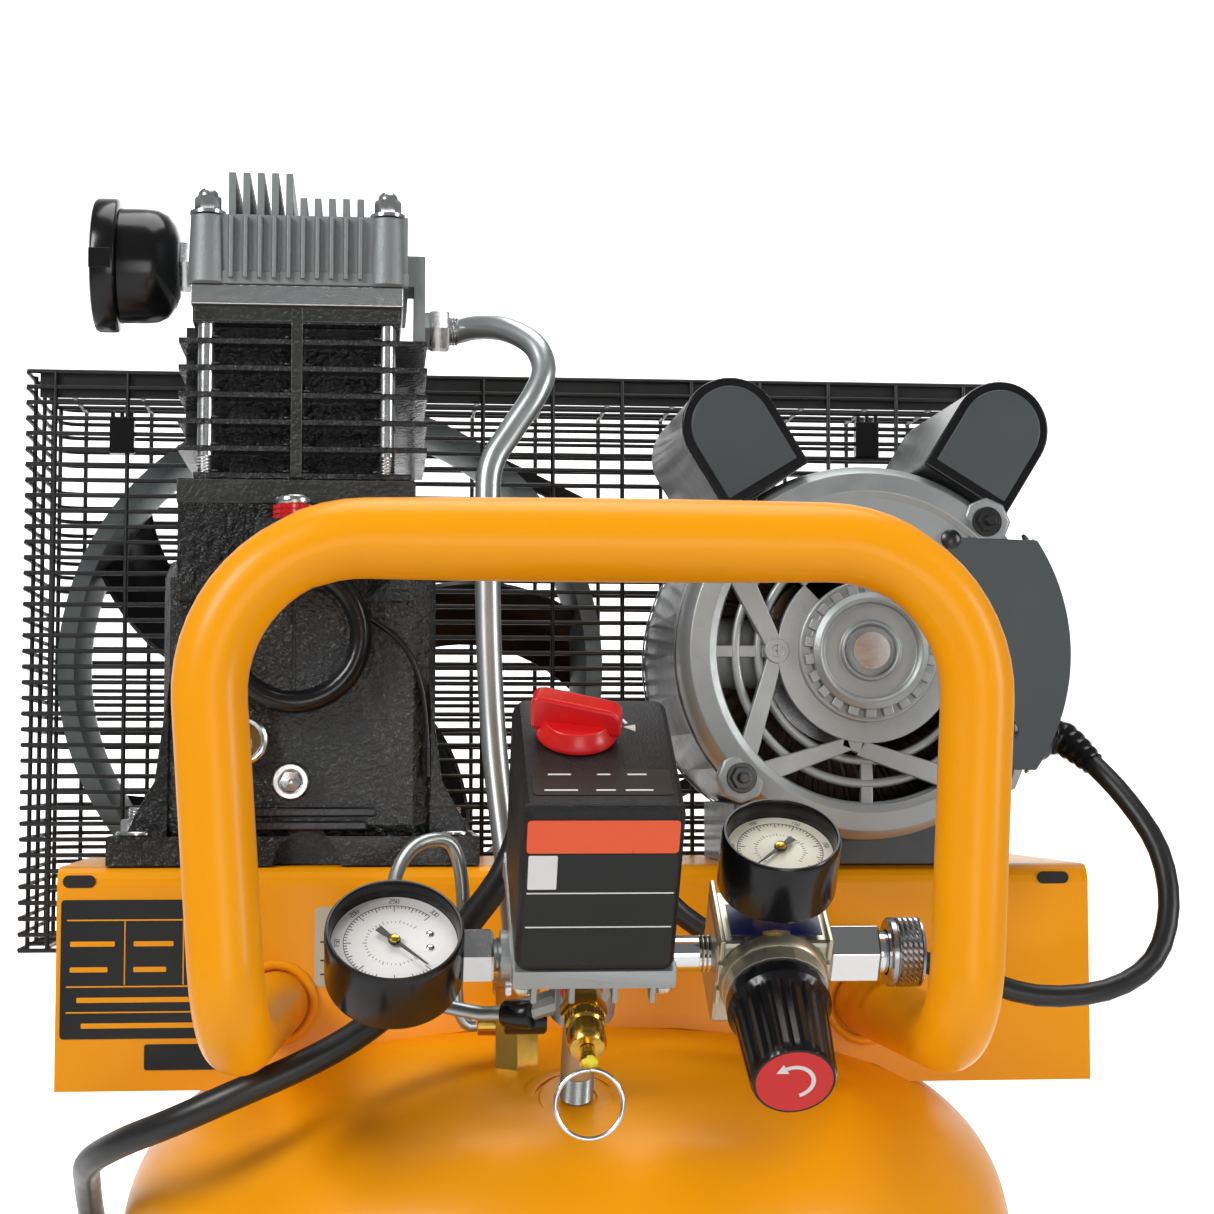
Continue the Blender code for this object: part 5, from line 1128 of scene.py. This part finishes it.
put("outlet_coupler_sleeve", bm, surface("knurled_steel", (0.4, 0.41, 0.42), 0.26, 1, [(900, 0.04)], 0.2, 0.1),
    "coupler_sleeve_body", ["coupler_sleeve"], sharp=18)
LINE = at((21, LINE_Y, LINE_Z), RIGHT, UP)
bm = lathe(new(), thread(-6, 2, 7.2, 1.4) + [(7, 2.5), (7, 14), (0, 14)], LINE, 48)
lathe(bm, thread(14, 19.3, 7.2, 1.4), LINE, 48)
put("outlet_nipple", bm, CHROME, sharp=40)
elbow = at((-38.5, -166, 919.4), RIGHT, UP)
bm = lathe(new(), [(0, 0), (6.2, 0), (6.8, 0.8), (6.8, 15.4), (6, 16.4), (0, 16.4)], elbow, 48)
put("unloader_elbow", bm, GLOSS_BLACK)

VALVE_TILT = radians(38)
VALVE = at(on_pipe(72, 0, -2), (0, -cos(VALVE_TILT), -sin(VALVE_TILT)), UP)
body = [(0, 14.6), (7.0, 14.6), (7.4, 15.6), (7.4, 22), (0, 22)]
bm = lathe(new(), body, VALVE, 56)
hexagon(bm, VALVE, 15.6, 22, 28.4)
lathe(bm, [(0, 28.4), (6.9, 28.4), (7.3, 29.2), (7.3, 34), (6.6, 35), (6.6, 36), (7.4, 36.8), (7.4, 43.6),
           (6.4, 45.6), (4.6, 45.9), (0, 45.9)], VALVE, 56)
for i in range(30):
    slab(bm, (-0.22, 7.1, 29.6), (0.22, 7.65, 33.6), VALVE @ yaw(tau * i / 30))
put("relief_valve_body", bm, BRASS, nodes=["safety_valve_body"], sharp=30)
seal = [VALVE @ Vector((*polar(7.2, tau * i / 48), 14)) for i in range(48)]
put("relief_valve_seal", sweep(new(), seal, 1.1, 12, closed=True), RED, sharp=60)
bm = lathe(new(), [(0, 46.3), (2.9, 46.3), (2.9, 51.4), (3.5, 52), (3.5, 53.6), (2.6, 54.2), (0, 54.2)], VALVE, 32)
put("relief_valve_stem", bm, BRASS, "safety_stem_body", ["safety_valve_stem"])
bm = new()
blob = VALVE @ move(0.4, 1.2, 53.6) @ Matrix.Diagonal((1.2, 0.9, 0.8, 1))
bmesh.ops.create_icosphere(bm, subdivisions=3, radius=2.7, matrix=blob)
for vert in bm.verts:
    vert.co += Vector((sin(vert.co.x * 3.1), sin(vert.co.y * 2.7), sin(vert.co.z * 3.7))) * 0.22
put("relief_valve_paint", bm, PAINT_SPOT, "safety_stem_body", sharp=70)
hang = VALVE @ Vector((0, 0, 56.5))
loop = []
for i in range(101):
    a = radians(90 + 358 * i / 100)
    loop.append(hang + Vector((12.5 * cos(a), -0.9 + 1.8 * i / 100, -12.5 + 12.5 * sin(a))))
put("relief_valve_ring", sweep(new(), loop, 0.9, 12), ZINC, "safety_ring_body", ["safety_valve_ring"], sharp=60)

# Wheels, foot and drain

HALF_TRACK, AXLE_Y, TYRE_RADIUS = 236, -100, 125
for side, sign in (("left", -1), ("right", 1)):
    hub = at((sign * HALF_TRACK, AXLE_Y, TYRE_RADIUS), RIGHT * sign, UP)
    tyre = [(96, -19), (104, -22.5), (116, -23.6), (122, -20), (TYRE_RADIUS, -11), (TYRE_RADIUS, 11), (122, 20),
            (116, 23.6), (104, 22.5), (96, 19)]
    bm = lathe(new(), tyre, hub, 120, closed=True)
    for k in range(44):
        tread = hub @ yaw(tau * k / 44)
        for lean in (-1, 1):
            slab(bm, (-2.2, 121.5, -15 if lean < 0 else 2), (2.2, 124.9, -2 if lean < 0 else 15), tread)
    put(f"wheel_{side}_tyre", bm, TYRE, f"wheel_{side}_body", [f"wheel_{side}"], sharp=30)
    bm = lathe(new(), [(94, -16), (97.5, -17), (97.5, 17), (94, 16), (88, 10), (84, 6), (84, -6), (88, -10)], hub,
               120, closed=True)
    lathe(bm, [(9, -22), (20, -22), (22, -20), (22, 20), (20, 22), (9, 22)], hub, 64, closed=True)
    for k in range(10):
        arm = hub @ yaw(tau * k / 10)
        slab(bm, (-5, 20, -3), (5, 88, 3), arm)
        slab(bm, (-1.6, 20, -8), (1.6, 88, 8), arm)
    put(f"wheel_{side}_rim", bm, GLOSS_BLACK, f"wheel_{side}_body", bevel=0.8)
keep("drain_valve_body", BRASS, 0.4)
keep("drain_valve_tap", BRASS, 0.4)

# Studio, in metres: the paper runs flat, bends up and stands behind the machine

bm = new()
BEND_Y, BEND_RADIUS = 3.2, 1.6
profile = [(-14, 0.0), (BEND_Y, 0.0)]
for a in range(6, 91, 6):
    profile.append((BEND_Y + BEND_RADIUS * sin(radians(a)), BEND_RADIUS - BEND_RADIUS * cos(radians(a))))
profile.append((4.8, 9.0))
rows = [[bm.verts.new((x, y, z)) for y, z in profile] for x in (-14, 14)]
for i in range(len(profile) - 1):
    bm.faces.new((rows[0][i], rows[1][i], rows[1][i + 1], rows[0][i + 1]))
mesh = bpy.data.meshes.new("studio_sweep")
bm.to_mesh(mesh)
bm.free()
mesh.shade_smooth()
mesh.materials.append(surface("studio_paper", (0.93, 0.93, 0.93), 0.7, 0, [(60, 0.02)], 0.01, 0.03, 0, 3))
floor = bpy.data.objects.new("studio_sweep", mesh)
scene.collection.objects.link(floor)


def lamp(name, place, target, wide, tall, power):
    data = bpy.data.lights.new(name, "AREA")
    data.shape = "RECTANGLE"
    data.size = wide
    data.size_y = tall
    data.energy = power
    light = bpy.data.objects.new(name, data)
    light.location = place
    light.rotation_euler = (Vector(target) - Vector(place)).to_track_quat("-Z", "Y").to_euler()
    scene.collection.objects.link(light)


lamp("key_left", (-1.7, -1.5, 2.3), (0, 0, 1.0), 0.8, 1.1, 42)
lamp("fill_right", (2.0, -1.1, 1.5), (0, 0, 1.0), 0.6, 1.4, 22)
lamp("top", (0.1, 0.2, 2.9), (0, 0, 1.0), 1.4, 1.4, 23)
lamp("front_low", (0.2, -2.4, 0.7), (0, 0, 0.95), 0.9, 0.9, 9)
lamp("back_wall", (0, 1.9, 2.4), (0, 4.7, 1.4), 3.4, 3.4, 210)
world = bpy.data.worlds.new("studio")
world.use_nodes = True
sky = world.node_tree.nodes
sky["Background"].inputs["Color"].default_value = (1, 1, 1, 1)
ray = sky.new("ShaderNodeLightPath")
seen = sky.new("ShaderNodeMapRange")
seen.inputs["To Min"].default_value = 0.17  # the light it gives
seen.inputs["To Max"].default_value = 0.3  # what the camera sees
world.node_tree.links.new(ray.outputs["Is Camera Ray"], seen.inputs["Value"])
world.node_tree.links.new(seen.outputs["Result"], sky["Background"].inputs["Strength"])
scene.world = world
